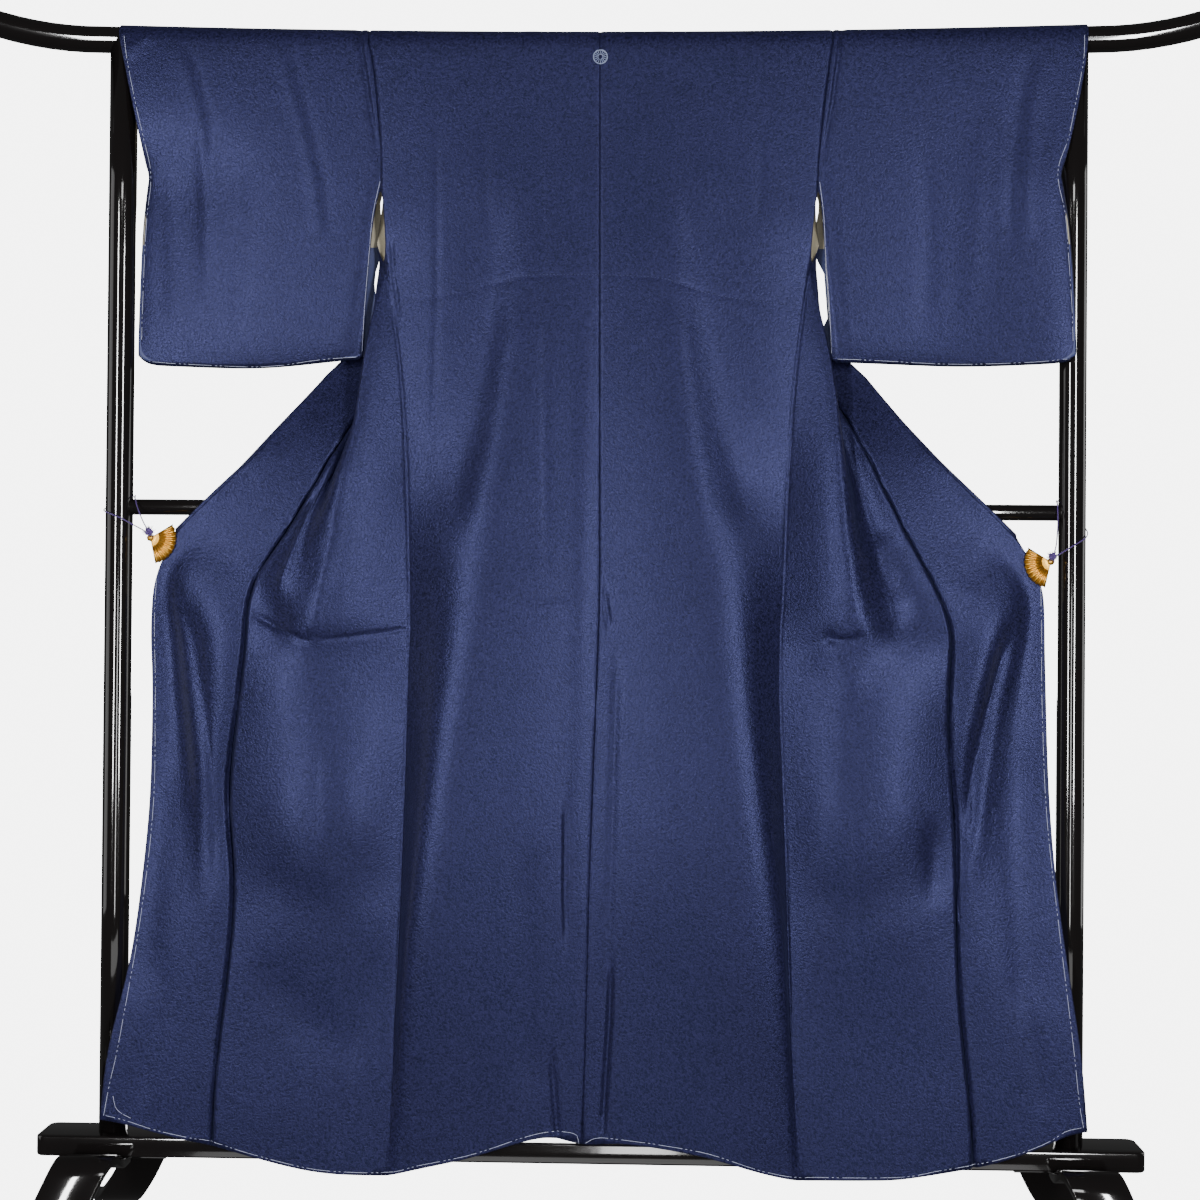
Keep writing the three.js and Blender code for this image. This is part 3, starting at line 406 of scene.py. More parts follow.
# The pieces in sewing order: node, direction in which the right side lies furthest out.
PIECES = (("body_left", (0, 0, 1)), ("body_right", (0, 0, 1)), ("okumi_left", (0, -1, 0)),
          ("okumi_right", (0, -1, 0)), ("sleeve_left", (0, 0, 1)), ("sleeve_right", (0, 0, 1)),
          ("collar", (0, 1, 0)))
BODY, OKUMI, SLEEVE, COLLAR = (0, 1), (2, 3), (4, 5), (6,)
FRONT = 10                     # added to a body piece's number on its front panel
ARMHOLE = 1440                 # height in mm at which the side seam starts
# Side seam: height and distance from the middle, in mm, below the armhole.
SIDE_SEAM = {"left": [(1440, 301), (1285, 281), (1140, 269), (960, 262), (830, 262), (620, 265.5),
                      (460, 269), (300, 275), (104, 284)],
             "right": [(1440, 312), (1285, 294), (1140, 283), (960, 276), (830, 270.5), (620, 277.5),
                       (460, 283), (300, 289), (104, 303)]}
WALL_SLACK = 2.5e-5
EDGE_STRIP = 0.005             # width of the narrow strip of faces along the edges
SEAM_GAP, LOW_GAP = 0.00046, 0.0046   # how far apart two edges may be and still be sewn
PRESSED_ANGLE, PRESSED = 1.7, 0.85    # folds sharper than this stay crisp, and how crisp


def along(table, z):
    """Straight interpolation in a table with falling heights."""
    for (z0, a), (z1, b) in zip(table, table[1:]):
        if z >= z1:
            return b + (a - b) * min(1.0, (z - z1) / (z0 - z1))
    return table[-1][1]


def right_side(name, furthest, number):
    """The right side of a cloth node in quads, with a narrow strip along its edges, numbered."""
    bm = bmesh.new()
    bm.from_mesh(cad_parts[name].data)
    bmesh.ops.remove_doubles(bm, verts=bm.verts, dist=2e-5)
    cut = [f for f in bm.faces if any(abs(e.calc_length() - WALL) < WALL_SLACK for e in f.edges)]
    bmesh.ops.delete(bm, geom=cut, context="FACES")
    start = max(bm.verts, key=lambda v: v.co.dot(Vector(furthest)))
    kept, front = {start}, [start]
    while front:
        v = front.pop()
        for e in v.link_edges:
            o = e.other_vert(v)
            if o not in kept:
                kept.add(o)
                front.append(o)
    bmesh.ops.delete(bm, geom=[v for v in bm.verts if v not in kept], context="VERTS")
    bmesh.ops.join_triangles(bm, faces=bm.faces, angle_face_threshold=math.pi,
                             angle_shape_threshold=math.pi)
    inner = [e for e in bm.edges if e.verts[0].is_boundary != e.verts[1].is_boundary]
    fresh = []
    for e in inner:
        rim = e.verts[0] if e.verts[0].is_boundary else e.verts[1]
        fresh.append(bmesh.utils.edge_split(e, rim, min(0.4, EDGE_STRIP / e.calc_length()))[1])
    bmesh.ops.connect_verts(bm, verts=fresh)
    for f in bm.faces:
        f.material_index = number
        if number in BODY:
            side = "left" if number == 0 else "right"
            at = f.calc_center_median() * 1000
            if at.z < ARMHOLE and abs(at.x) > along(SIDE_SEAM[side], at.z):
                f.material_index = number + FRONT
    return bm


def rounded(bm):
    """The mesh after one round of subdivision; its corners stay, and its pressed folds stay crisp."""
    bm.normal_update()
    pressed = bm.edges.layers.float.get("crease_edge") or bm.edges.layers.float.new("crease_edge")
    for e in bm.edges:
        sharp = e.calc_face_angle(0) > PRESSED_ANGLE and e.calc_length() > 0.004
        e[pressed] = PRESSED if sharp else 0.0
    mesh = bpy.data.meshes.new("rounding")
    bm.to_mesh(mesh)
    bm.free()
    obj = bpy.data.objects.new("rounding", mesh)
    bpy.context.scene.collection.objects.link(obj)
    smooth = obj.modifiers.new("rounding", "SUBSURF")
    smooth.levels = smooth.render_levels = 1
    smooth.boundary_smooth = "PRESERVE_CORNERS"
    done = bpy.data.meshes.new_from_object(obj.evaluated_get(bpy.context.evaluated_depsgraph_get()))
    out = bmesh.new()
    out.from_mesh(done)
    bpy.data.objects.remove(obj)
    bpy.data.meshes.remove(mesh)
    bpy.data.meshes.remove(done)
    return out


garment = bmesh.new()
for number, (node, furthest) in enumerate(PIECES):
    bm = right_side(node, furthest, number)
    part = bpy.data.meshes.new("part")
    bm.to_mesh(part)
    bm.free()
    garment.from_mesh(part)
    bpy.data.meshes.remove(part)
bmesh.ops.remove_doubles(garment, verts=[v for v in garment.verts if v.is_boundary], dist=SEAM_GAP)
# Low on the back seam the two sides' rows end up to 4 mm apart in height, so they join wider there.
low = [v for v in garment.verts
       if v.is_boundary and abs(v.co.x) < 0.012 and v.co.z < 0.47 and v.co.y < 0]
bmesh.ops.remove_doubles(garment, verts=low, dist=LOW_GAP)
garment = rounded(garment)
level_edges = []
for e in garment.edges:
    way = e.verts[0].co - e.verts[1].co
    if abs(way.x) > 1.2 * math.hypot(way.y, way.z) and e.calc_length() > 0.006:
        level_edges.append(e)
bmesh.ops.subdivide_edges(garment, edges=level_edges, cuts=1, use_grid_fill=True)
garment = rounded(garment)


FADE = 0.22                    # share of a fold's line over which each end fades out


def pull(p, crease):
    """How far a crease lifts the cloth at (x, z), in mm: its height, widths and line."""
    lift, left, right, line = crease
    best = None
    for k, ((x0, z0), (x1, z1)) in enumerate(zip(line, line[1:])):
        dx, dz = x1 - x0, z1 - z0
        t = ((p[0] - x0) * dx + (p[1] - z0) * dz) / (dx * dx + dz * dz)
        t = min(1.0, max(0.0, t))
        ox, oz = p[0] - x0 - dx * t, p[1] - z0 - dz * t
        away = math.hypot(ox, oz)
        if best is None or away < best[0]:
            sense = ox * dz - oz * dx
            sense = sense if dz < 0 else -sense
            best = (away, sense, (k + t) / (len(line) - 1))
    away, sense, s = best
    wide = left if sense > 0 else right
    fall = math.exp(-(away / wide) ** 2)
    ends = min(1.0, min(s, 1 - s) / FADE)
    return lift * fall * ends * ends * (3 - 2 * ends)


cloth_pieces = []


def hang(name, node):
    """Takes a piece out of the sewn garment: silk outside, lining inside."""
    number = [n for n, _ in PIECES].index(node)
    bm = garment.copy()
    others = [f for f in bm.faces if f.material_index % FRONT != number]
    bmesh.ops.delete(bm, geom=others, context="FACES")
    for f in bm.faces:
        f.material_index = 0
    inside = linings["sleeve" if number in SLEEVE else "body"]
    obj = new_piece(name, bm, [crepe, inside], [node])
    wall = obj.modifiers.new("cloth", "SOLIDIFY")
    wall.thickness, wall.offset, wall.material_offset = CLOTH, -1, 1
    wall.use_even_offset = False
    cloth_pieces.append(obj)


# ------------------------ body
# One length of silk a side runs from the back hem over the rail to the front hem. Tall soft
# folds fall from the shoulders; the fronts are drawn out sideways by the clips. Each row is a
# fold, in mm: its lift off the cloth, its reach to the left and right, and its line of (x, z).
BODY_FOLDS = {
    "left": [
        (0.9, 14, 14, [(-8, 1700), (-10, 900), (-14, 160)]),       # pressed seam allowance
        (2.6, 22, 60, [(-104, 1380), (-120, 1270), (-128, 1170), (-150, 1080), (-168, 980)]),
        (-6.5, 62, 34, [(-138, 1540), (-148, 1420), (-162, 1290), (-178, 1180), (-198, 1090),
                        (-214, 1000)]),
        (1.6, 9, 14, [(-342, 1260), (-356, 1090), (-374, 980), (-388, 922)]),
        (2.0, 15, 11, [(-374, 1000), (-386, 930), (-391, 890), (-392, 868)]),
        (19.0, 32, 25, [(-372, 1200), (-386, 1110), (-399, 1050), (-418, 1000), (-437, 950),
                        (-450, 885)]),
        (-2.0, 5, 5, [(-492, 907), (-452, 884), (-413, 866), (-392, 862)]),
        (-1.4, 4, 4, [(-395, 864), (-356, 868), (-300, 876), (-252, 884)]),
        (-0.8, 4, 4, [(-122, 924), (-72, 921), (-22, 927)]),
        (-0.7, 5, 5, [(-228, 1644), (-226, 1355), (-233, 1096)]),
        (-0.6, 6, 6, [(-78, 1571), (-70, 1298), (-61, 925)]),
        (-3.4, 3, 5, [(-34, 660), (-33, 572), (-33, 500), (-29, 420)]),
        (-3.6, 3.4, 5, [(-52, 300), (-45, 214), (-39, 150)]),
        (-3.2, 20, 20, [(-88, 600), (-90, 440), (-88, 330), (-78, 200)]),
        (-0.8, 6, 6, [(-329, 330), (-343, 226), (-361, 115)]),
        (-3.0, 55, 30, [(-489, 551), (-424, 500), (-353, 485), (-261, 554)]),
        (2.2, 60, 40, [(-470, 640), (-380, 590), (-300, 640)]),
        (-2.6, 30, 34, [(-481, 423), (-409, 324), (-344, 290), (-267, 454)]),
        (-0.5, 3.5, 3.5, [(-292, 1351), (-197, 1366), (-109, 1387), (9, 1392)]),
        (-0.6, 7, 7, [(-150, 1690), (-160, 1560), (-150, 1430)]),
    ],
    "right": [
        (2.4, 60, 22, [(118, 1380), (132, 1270), (136, 1170), (152, 1080), (178, 980)]),
        (-6.5, 34, 62, [(152, 1540), (162, 1420), (178, 1290), (194, 1180), (218, 1090), (234, 1000)]),
        (-1.6, 5, 7, [(38, 869), (33, 642), (28, 359)]),
        (-2.2, 4, 4, [(18, 945), (22, 915), (28, 885)]),
        (-6.0, 3, 4.5, [(34, 430), (31, 330), (26, 243), (21, 140)]),
        (-0.5, 3.5, 3.5, [(9, 1392), (96, 1387), (183, 1363), (303, 1350)]),
        (1.4, 10, 12, [(342, 1255), (356, 1099), (361, 985), (380, 886)]),
        (-3.0, 10, 26, [(362, 1235), (378, 1110), (388, 1000), (398, 930)]),
        (8.0, 26, 36, [(396, 1030), (406, 980), (420, 935), (440, 890)]),
        (-2.6, 5, 9, [(326, 878), (345, 871), (372, 872), (390, 882)]),
        (2.6, 30, 24, [(330, 868), (346, 846), (364, 818), (384, 780)]),
        (-0.7, 7, 7, [(361, 787), (379, 575), (385, 363)]),
        (-2.4, 40, 30, [(286, 531), (370, 490), (460, 520), (503, 605)]),
        (2.0, 60, 40, [(300, 640), (390, 600), (480, 650)]),
        (-4.0, 16, 22, [(488, 620), (492, 560), (486, 500)]),
        (-0.9, 14, 14, [(122, 1628), (140, 1400), (154, 1184)]),
        (-0.6, 8, 8, [(230, 1690), (240, 1560), (236, 1440)]),
    ],
}
BODY_FAR_FOLDS = {
    "left": [
        (-1.6, 14, 14, [(-150, 1690), (-170, 1560), (-190, 1460)]),
        (1.4, 16, 16, [(-230, 1690), (-250, 1520), (-280, 1450)]),
        (-1.2, 12, 12, [(-280, 1690), (-285, 1600), (-300, 1500)]),
    ],
    "right": [
        (-1.6, 14, 14, [(140, 1690), (165, 1560), (186, 1460)]),
        (1.4, 16, 16, [(240, 1690), (256, 1520), (284, 1450)]),
        (-1.2, 12, 12, [(290, 1690), (298, 1600), (310, 1500)]),
    ],
}


# ------------------------ overlap panels
# The narrow front panels. They are drawn tight from the clips, so long pulls run down from them.
OKUMI_FOLDS = {
    "left": [
        (-9.0, 14, 28, [(-596, 960), (-570, 863), (-555, 770), (-541, 680), (-535, 590), (-530, 480)]),
        (-2.6, 22, 12, [(-616, 930), (-598, 850), (-588, 740), (-575, 640)]),
        (1.4, 18, 18, [(-560, 1120), (-480, 1120), (-440, 1150)]),
        (-1.2, 12, 12, [(-590, 1010), (-540, 990), (-500, 960)]),
        (-3.2, 34, 26, [(-628, 760), (-622, 600), (-632, 450), (-640, 330)]),
        (-1.2, 14, 14, [(-600, 420), (-620, 300), (-640, 190)]),
    ],
    "right": [
        (-2.0, 22, 16, [(632, 930), (605, 850), (585, 788), (540, 640)]),
        (-13.0, 18, 13, [(612, 930), (586, 840), (564, 760), (548, 690), (536, 630), (528, 550)]),
        (1.2, 26, 20, [(600, 940), (560, 850), (530, 770), (520, 690)]),
        (1.4, 18, 18, [(560, 1120), (500, 1110), (450, 1150)]),
        (-1.2, 12, 12, [(600, 1000), (560, 980), (520, 950)]),
        (-3.6, 26, 34, [(618, 760), (606, 600), (616, 450), (628, 330)]),
        (-1.2, 14, 14, [(600, 420), (630, 300), (650, 190)]),
    ],
}


# ------------------------ sleeves
# Each sleeve is one length folded over the rail. It is sewn to the body above the armhole gap,
# and open there below it and at the wrist.
SLEEVE_FOLDS = {
    "left": [
        (1.6, 7, 10, [(-608, 1735), (-587, 1674), (-569, 1605), (-567, 1531), (-561, 1300)]),
        (-1.4, 8, 6, [(-594, 1735), (-575, 1674), (-557, 1605), (-556, 1500)]),
        (1.2, 7, 9, [(-460, 1735), (-434, 1645), (-405, 1532), (-393, 1420)]),
        (-1.1, 8, 6, [(-450, 1735), (-422, 1645), (-393, 1532), (-382, 1430)]),
        (2.0, 8, 8, [(-640, 1745), (-662, 1728), (-684, 1708)]),
        (-2.4, 3.5, 3.5, [(-346, 1790), (-342, 1742), (-326, 1637), (-310, 1560), (-303, 1520),
                          (-300, 1490)]),
        (-3.0, 11, 7, [(-308, 1560), (-314, 1479), (-325, 1394), (-342, 1294), (-350, 1240)]),
        (-0.9, 12, 12, [(-520, 1600), (-515, 1450), (-520, 1290)]),
        (0.9, 14, 14, [(-620, 1560), (-612, 1430), (-606, 1290)]),
    ],
    "right": [
        (-2.4, 3.5, 3.5, [(358, 1790), (353, 1742), (340, 1638), (326, 1560), (319, 1520), (316, 1490)]),
        (-2.4, 7, 10, [(322, 1560), (330, 1479), (340, 1394), (352, 1294), (356, 1240)]),
        (-1.8, 9, 9, [(622, 1725), (605, 1631), (597, 1531), (596, 1420)]),
        (1.4, 10, 10, [(642, 1725), (628, 1631), (618, 1531), (616, 1420)]),
        (-0.9, 12, 12, [(470, 1600), (480, 1450), (476, 1290)]),
        (0.8, 12, 12, [(560, 1640), (548, 1480), (540, 1300)]),
    ],
}


# ------------------------ collar
# One long strip, folded double, round the back of the neck and down both front edges. It is
# turned to the rear on the rack.
COLLAR_FOLDS = [(1.2, 14, 14, [(-560, 1130), (-470, 1180), (-380, 1260)]),
                (-1.2, 12, 12, [(430, 1230), (510, 1150), (580, 1090)])]


# ------------------------ laying the folds
# The garment is sewn before it hangs, so folds run on from piece to piece. Each seam is drawn in
# a little: a fine line at the back and sides, a deep shaded fold along the overlap panels.
FAR_SHIFT = 18                 # how far inward a sleeve's folds lie on its far layer, in mm
FOLDS = {}                     # (piece number, near side or far side) to folds
for k, side in enumerate(("left", "right")):
    FOLDS[BODY[k], True] = FOLDS[BODY[k] + FRONT, True] = BODY_FOLDS[side]
    FOLDS[BODY[k], False] = BODY_FAR_FOLDS[side]
    FOLDS[OKUMI[k], True] = OKUMI_FOLDS[side]
    FOLDS[SLEEVE[k], True] = SLEEVE_FOLDS[side]
    sign = 2 * k - 1
    FOLDS[SLEEVE[k], False] = [(lift, b, a, [(x + sign * FAR_SHIFT, z) for x, z in line])
                               for lift, a, b, line in SLEEVE_FOLDS[side]]
FOLDS[COLLAR[0], False] = COLLAR_FOLDS
# Depth of each seam, in mm, and how wide it draws in the cloth: on an overlap panel the deep
# fold is wider than on the front beside it.
SEAM_DEPTH = {"back": 1.1, "side": 1.3, "okumi": 7.0, "sleeve": 1.6}
SEAM_WIDE, FOLD_WIDE_PANEL, FOLD_WIDE_FRONT, SEAM_REACH = 2.2, 3.2, 2.0, 30
PANEL_TOP = 1.40               # height at which the overlap panels' deep fold ends
NARROW = 5                     # folds this narrow, in mm, need a finer mesh
FINEST = 0.0024                # edges shorter than this aren't split


def seam_kind(a, b):
    """The kind of seam between two numbered pieces, or None where they aren't sewn."""
    a, b = min(a, b), max(a, b)
    if (a, b) == BODY:
        return "back"
    if b == a + FRONT:
        return "side"
    if a % FRONT in BODY and b in SLEEVE:
        return "sleeve"
    if a in OKUMI and b >= FRONT or a in BODY and b in OKUMI:
        return "okumi"


fold_boxes = {}                # (piece number, near side or far side) to boxes round its folds
for place_of, folds in FOLDS.items():
    fold_boxes[place_of] = []
    for fold in folds:
        pad = 2.2 * max(fold[1], fold[2])
        us, ws = [q[0] for q in fold[3]], [q[1] for q in fold[3]]
        box = (min(us) - pad, max(us) + pad, min(ws) - pad, max(ws) + pad)
        fold_boxes[place_of].append((*box, fold))

# The edges across narrow folds are split twice.
garment.normal_update()
for _ in range(2):
    across = []
    for e in garment.edges:
        if e.calc_length() < FINEST:
            continue
        m = (e.verts[0].co + e.verts[1].co) * 500
        way = e.verts[1].co - e.verts[0].co
        where = (e.link_faces[0].material_index, e.verts[0].normal.y < 0)
        for x0, x1, z0, z1, (lift, a, b, line) in fold_boxes.get(where, ()):
            if min(a, b) <= NARROW and x0 < m.x < x1 and z0 < m.z < z1:
                run = (line[-1][0] - line[0][0], line[-1][1] - line[0][1])
                turned = abs(way.x * run[0] + way.z * run[1]) / (math.hypot(*run) * way.length)
                if turned < 0.7 and pull((m.x, m.z), (1, 2.5 * a, 2.5 * b, line)) > 0.3:
                    across.append(e)
                    break
    bmesh.ops.subdivide_edges(garment, edges=across, cuts=1, use_grid_fill=True)
    garment.normal_update()

# The sleeves' far layers swing in behind the armholes, except where the sleeve stands open. The
# fronts' edges belly out between the clips and the sleeves. Rows are a height and, in mm, the
# distance of an edge from the middle, a shift, or the depth behind which cloth belongs to a front.
SLEEVE_EDGE = [(1500, 312), (1480, 319.5), (1420, 325), (1350, 331), (1270, 335)]
SWING = {-1: [(1500, 0), (1450, 15), (1425, 14), (1412, 7), (1374, 7), (1360, 14), (1290, 13), (1270, 0)],
         1: [(1500, 0), (1450, 15), (1425, 14), (1408, 1), (1332, 1), (1318, 13), (1290, 13), (1270, 0)]}
FRONT_EDGE = [(1340, 266), (1252, 344), (1115, 500)]
BELLY = {-1: [(1340, 0), (1290, 24), (1252, 28), (1184, 14), (1133, 3), (1115, 0)],
         1: [(1340, 0), (1290, 18), (1252, 22), (1184, 8), (1133, 1), (1115, 0)]}
BEHIND = [(1340, 2), (1250, -2), (1200, -14), (1150, -24), (1115, -32)]
SWING_REACH, BELLY_REACH, BEHIND_REACH = 30, 60, 8   # over how many mm a shift dies away
for v in garment.verts:
    number = min(f.material_index for f in v.link_faces)
    out, height = math.copysign(1, v.co.x), v.co.z * 1000
    if number in SLEEVE and v.normal.y > 0.2 and 1270 < height < 1500:
        inside = max(0.0, abs(v.co.x) * 1000 - along(SLEEVE_EDGE, height))
        fades = math.exp(-(inside / SWING_REACH) ** 2)
        v.co.x -= out * along(SWING[out], height) / 1000 * fades
    elif number not in SLEEVE and 1115 < height < 1340:
        inside = along(FRONT_EDGE, height) - abs(v.co.x) * 1000
        share = min(1.0, (BELLY_REACH - inside) / BELLY_REACH)
        behind = min(1.0, (v.co.y * 1000 - along(BEHIND, height)) / BEHIND_REACH)
        if share > 0 and behind > 0:
            v.co.x += out * along(BELLY[out], height) / 1000 * share * behind

garment.normal_update()
seam_spots = {kind: [] for kind in SEAM_DEPTH}
for e in garment.edges:
    if len(e.link_faces) == 2 and e.link_faces[0].material_index != e.link_faces[1].material_index:
        kind = seam_kind(e.link_faces[0].material_index, e.link_faces[1].material_index)
        middle = (e.verts[0].co + e.verts[1].co) / 2
        if kind == "side" and middle.z > ARMHOLE / 1000 or kind == "okumi" and middle.z > PANEL_TOP:
            continue
        if kind:
            seam_spots[kind] += [e.verts[0].co.copy(), middle]
seam_trees = {}
for kind, spots in seam_spots.items():
    if spots:
        seam_trees[kind] = KDTree(len(spots))
        for i, p in enumerate(spots):
            seam_trees[kind].insert(p, i)
        seam_trees[kind].balance()

shifts = []
for v in garment.verts:
    p, facing = (v.co.x * 1000, v.co.z * 1000), v.normal.y
    numbers = {f.material_index for f in v.link_faces}
    number = min(numbers)
    lift = 0.0
    for x0, x1, z0, z1, fold in fold_boxes.get((number, facing < 0), ()):
        if x0 < p[0] < x1 and z0 < p[1] < z1:
            lift += pull(p, fold) * min(1.0, abs(facing) * 3)
    for kind, spots in seam_trees.items():
        away = spots.find(v.co)[2] * 1000
        if away < SEAM_REACH:
            wide = SEAM_WIDE
            if kind == "okumi":
                wide = FOLD_WIDE_PANEL if number in OKUMI else FOLD_WIDE_FRONT
            lift -= SEAM_DEPTH[kind] * math.exp(-(away / wide) ** 2)
    shifts.append(v.normal * lift / 1000)
for v, shift in zip(garment.verts, shifts):
    v.co += shift

for side in ("left", "right"):
    hang(f"kimono_body_{side}", f"body_{side}")
    hang(f"kimono_okumi_{side}", f"okumi_{side}")
    hang(f"kimono_sleeve_{side}", f"sleeve_{side}")
hang("kimono_collar", "collar")
garment.free()


# ------------------------ basting thread
# White basting thread holds the pressed edges: long running stitches parted by groups of tiny
# ones, a few millimetres in from hems, fronts and sleeve edges.
bpy.context.view_layer.update()
sewn = bpy.context.evaluated_depsgraph_get()
cloth_trees = [BVHTree.FromObject(obj, sewn) for obj in cloth_pieces]


def on_cloth(x, z, off=0.0003, near=True):
    """The point just in front of the cloth, or behind it, at (x, z) in metres."""
    toward = Vector((0, 1, 0)) if near else Vector((0, -1, 0))
    start = Vector((x, 0, z)) - toward
    found = [t.ray_cast(start, toward)[0] for t in cloth_trees]
    ys = [p.y for p in found if p is not None]
    if not ys:
        return None
    y = min(ys) if near else max(ys)
    return Vector((x, y, z)) - toward * off


def add_stitch(curve, points, closed=False):
    """Adds one thin line of thread through the points."""
    spline = curve.splines.new("POLY")
    spline.points.add(len(points) - 1)
    for q, p in zip(spline.points, points):
        q.co = (*p, 1)
    spline.use_cyclic_u = closed


def lay_thread(curve, line, pattern, near=True):
    """Adds stitches along a line of (x, z) in mm; pattern lists stitch and gap lengths."""
    path = smooth_line([(x / 1000, 0, z / 1000) for x, z in line], 24)
    k, at, marks = 0, 0.0, [0.0]
    for a, b in zip(path, path[1:]):
        marks.append(marks[-1] + (b - a).length)

    def spot(s):
        i = next((i for i, m in enumerate(marks) if m >= s), len(marks) - 1)
        if i == 0:
            return path[0]
        f = (s - marks[i - 1]) / max(1e-9, marks[i] - marks[i - 1])
        return path[i - 1].lerp(path[i], f)

    while at < marks[-1]:
        length, gap = pattern[k % len(pattern)]
        end = min(at + length, marks[-1])
        count = max(2, int((end - at) / 0.005) + 1)
        spots = [spot(at + (end - at) * i / (count - 1)) for i in range(count)]
        points = [on_cloth(p.x, p.z, near=near) for p in spots]
        points = [p for p in points if p is not None]
        if len(points) > 1 and (points[-1] - points[0]).length < 1.6 * length + 0.002:
            add_stitch(curve, points)
        at = end + gap
        k += 1


def thread_mesh(name, curve, radius, material):
    """Turns the stitches into a mesh piece."""
    curve.dimensions, curve.bevel_depth, curve.bevel_resolution = "3D", radius, 1
    curve.use_fill_caps = True
    obj = bpy.data.objects.new(name, curve)
    bpy.context.scene.collection.objects.link(obj)
    mesh = bpy.data.meshes.new_from_object(obj.evaluated_get(bpy.context.evaluated_depsgraph_get()))
    bpy.data.objects.remove(obj)
    bm = bmesh.new()
    bm.from_mesh(mesh)
    new_piece(name, bm, [material])


# Cotton basting thread: matt white with a faint twist.
cotton, tree, shader = finish("white_cotton_thread", Roughness=0.8, Specular_IOR_Level=0.2)
place = add_node(tree, "ShaderNodeTexCoord")
ply = add_node(tree, "ShaderNodeTexNoise", {"Vector": place.outputs["Object"], "Scale": 800.0})
tone = add_node(tree, "ShaderNodeMix",
                {"Factor": ply.outputs[0], 6: linear("#7D829B"), 7: linear("#B4B8CC")}, data_type="RGBA")
tree.links.new(tone.outputs[2], shader.inputs["Base Color"])

BASTING = [(0.034, 0.004), (0.003, 0.004), (0.003, 0.005)]   # stitches and gaps
PLAIN, INNER, TUCK = [(0.03, 0.002)], [(0.03, 0.001)], [(0.002, 0.003)]
THREAD_R = 0.0003
HEMS = {
    "left": [(-10, 156), (-16, 169), (-50, 172), (-90, 163), (-130, 149), (-172, 136), (-237, 122),
             (-284, 110), (-355, 111), (-405, 117), (-478, 134), (-537, 151), (-561, 154), (-615, 165),
             (-659, 178), (-686, 184)],
    "right": [(-1, 156), (20, 164), (80, 159), (105, 156), (173, 145), (246, 123), (303, 112),
              (323, 113), (442, 116), (495, 125), (550, 135), (591, 145), (629, 158), (655, 170),
              (676, 183), (697, 188)],
}
FRONTS = {
    "left": [(-627, 955), (-630, 885), (-627, 780), (-628, 620), (-643, 460), (-667, 300), (-682, 225),
             (-689, 184)],
    "right": [(640, 955), (642, 885), (643, 780), (650, 620), (667, 460), (686, 300), (694, 225),
              (700, 188)],
}
WRISTS = {
    "left": [(-684, 1738), (-678, 1700), (-666, 1640), (-655, 1590), (-647, 1540), (-653, 1480),
             (-656, 1420), (-658, 1350), (-659, 1300)],
    "right": [(699, 1738), (697, 1700), (686, 1640), (676, 1590), (661, 1540), (672, 1480), (677, 1420),
              (682, 1350), (684, 1300)],
}
SLEEVE_HEMS = {
    "left": [(-345, 1276), (-401, 1271), (-457, 1263), (-509, 1261), (-606, 1265), (-648, 1268)],
    "right": [(352, 1276), (407, 1274), (516, 1269), (624, 1270), (676, 1274)],
}
SLEEVE_INNER = {
    "left": [(-310, 1528), (-320.5, 1480), (-326, 1420), (-332, 1350), (-336, 1284)],
    "right": [(323, 1528), (329.5, 1480), (333, 1420), (339, 1350), (343, 1284)],
}
stitches = bpy.data.curves.new("basting", "CURVE")
for side in ("left", "right"):
    for lines in (HEMS, FRONTS, WRISTS, SLEEVE_HEMS):
        lay_thread(stitches, lines[side], BASTING)
    lay_thread(stitches, SLEEVE_INNER[side], INNER)
    lay_thread(stitches, WRISTS[side][:5], BASTING, near=False)
    lay_thread(stitches, SLEEVE_HEMS[side], BASTING, near=False)
lay_thread(stitches, [(-676, 212), (-672, 196), (-664, 188), (-650, 181)], PLAIN)
thread_mesh("basting_thread", stitches, THREAD_R, cotton)

# The tuck across the back is taken up from inside; only tiny navy stitches show.
navy_thread = finish("navy_silk_thread", Base_Color=linear("#1B2045"), Roughness=0.6)[0]
tuck = bpy.data.curves.new("tuck", "CURVE")
lay_thread(tuck, [(-292, 1351), (-248, 1355), (-197, 1366), (-135, 1374), (-109, 1387), (-83, 1391),
                  (9, 1392), (96, 1387), (143, 1372), (183, 1363), (234, 1356), (303, 1350)], TUCK)
thread_mesh("tuck_stitches", tuck, THREAD_R, navy_thread)


# ------------------------ crest
# A small pale mark on the centre seam below the neck: a plain ring with short rays, drawn in
# thin embroidered lines.
CREST_X, CREST_Z, FLOSS_R = 0.007, 1.707, 0.00035
mark = bpy.data.curves.new("crest", "CURVE")


def embroider(points, closed=False):
    """Adds one embroidered line through points in mm from the mark's middle."""
    spots = [on_cloth(CREST_X + x / 1000, CREST_Z + z / 1000, off=0.0002) for x, z in points]
    add_stitch(mark, spots, closed)


for radius in (10.4, 9.4, 3.6):
    turns = [a * math.pi / 24 for a in range(48)]
    embroider([(radius * math.cos(a), radius * math.sin(a)) for a in turns], True)
for k in range(16):
    a = k * math.pi / 8
    embroider([(r * math.cos(a), r * math.sin(a)) for r in (4.4, 6.4, 8.6)])
# Silk floss: pale grey-blue, a little shiny along the stitch.
floss = finish("pale_silk_floss", Base_Color=linear("#77839F"), Roughness=0.5, Sheen_Weight=0.3)[0]
thread_mesh("crest_mark", mark, FLOSS_R, floss)


# ------------------------ fan clips
# A stamped and gilded brass fan on a sprung clip. The fan's leaf is pleated, its inner part is
# smooth where the ribs meet, and a plain jaw behind the fan closes on the cloth.

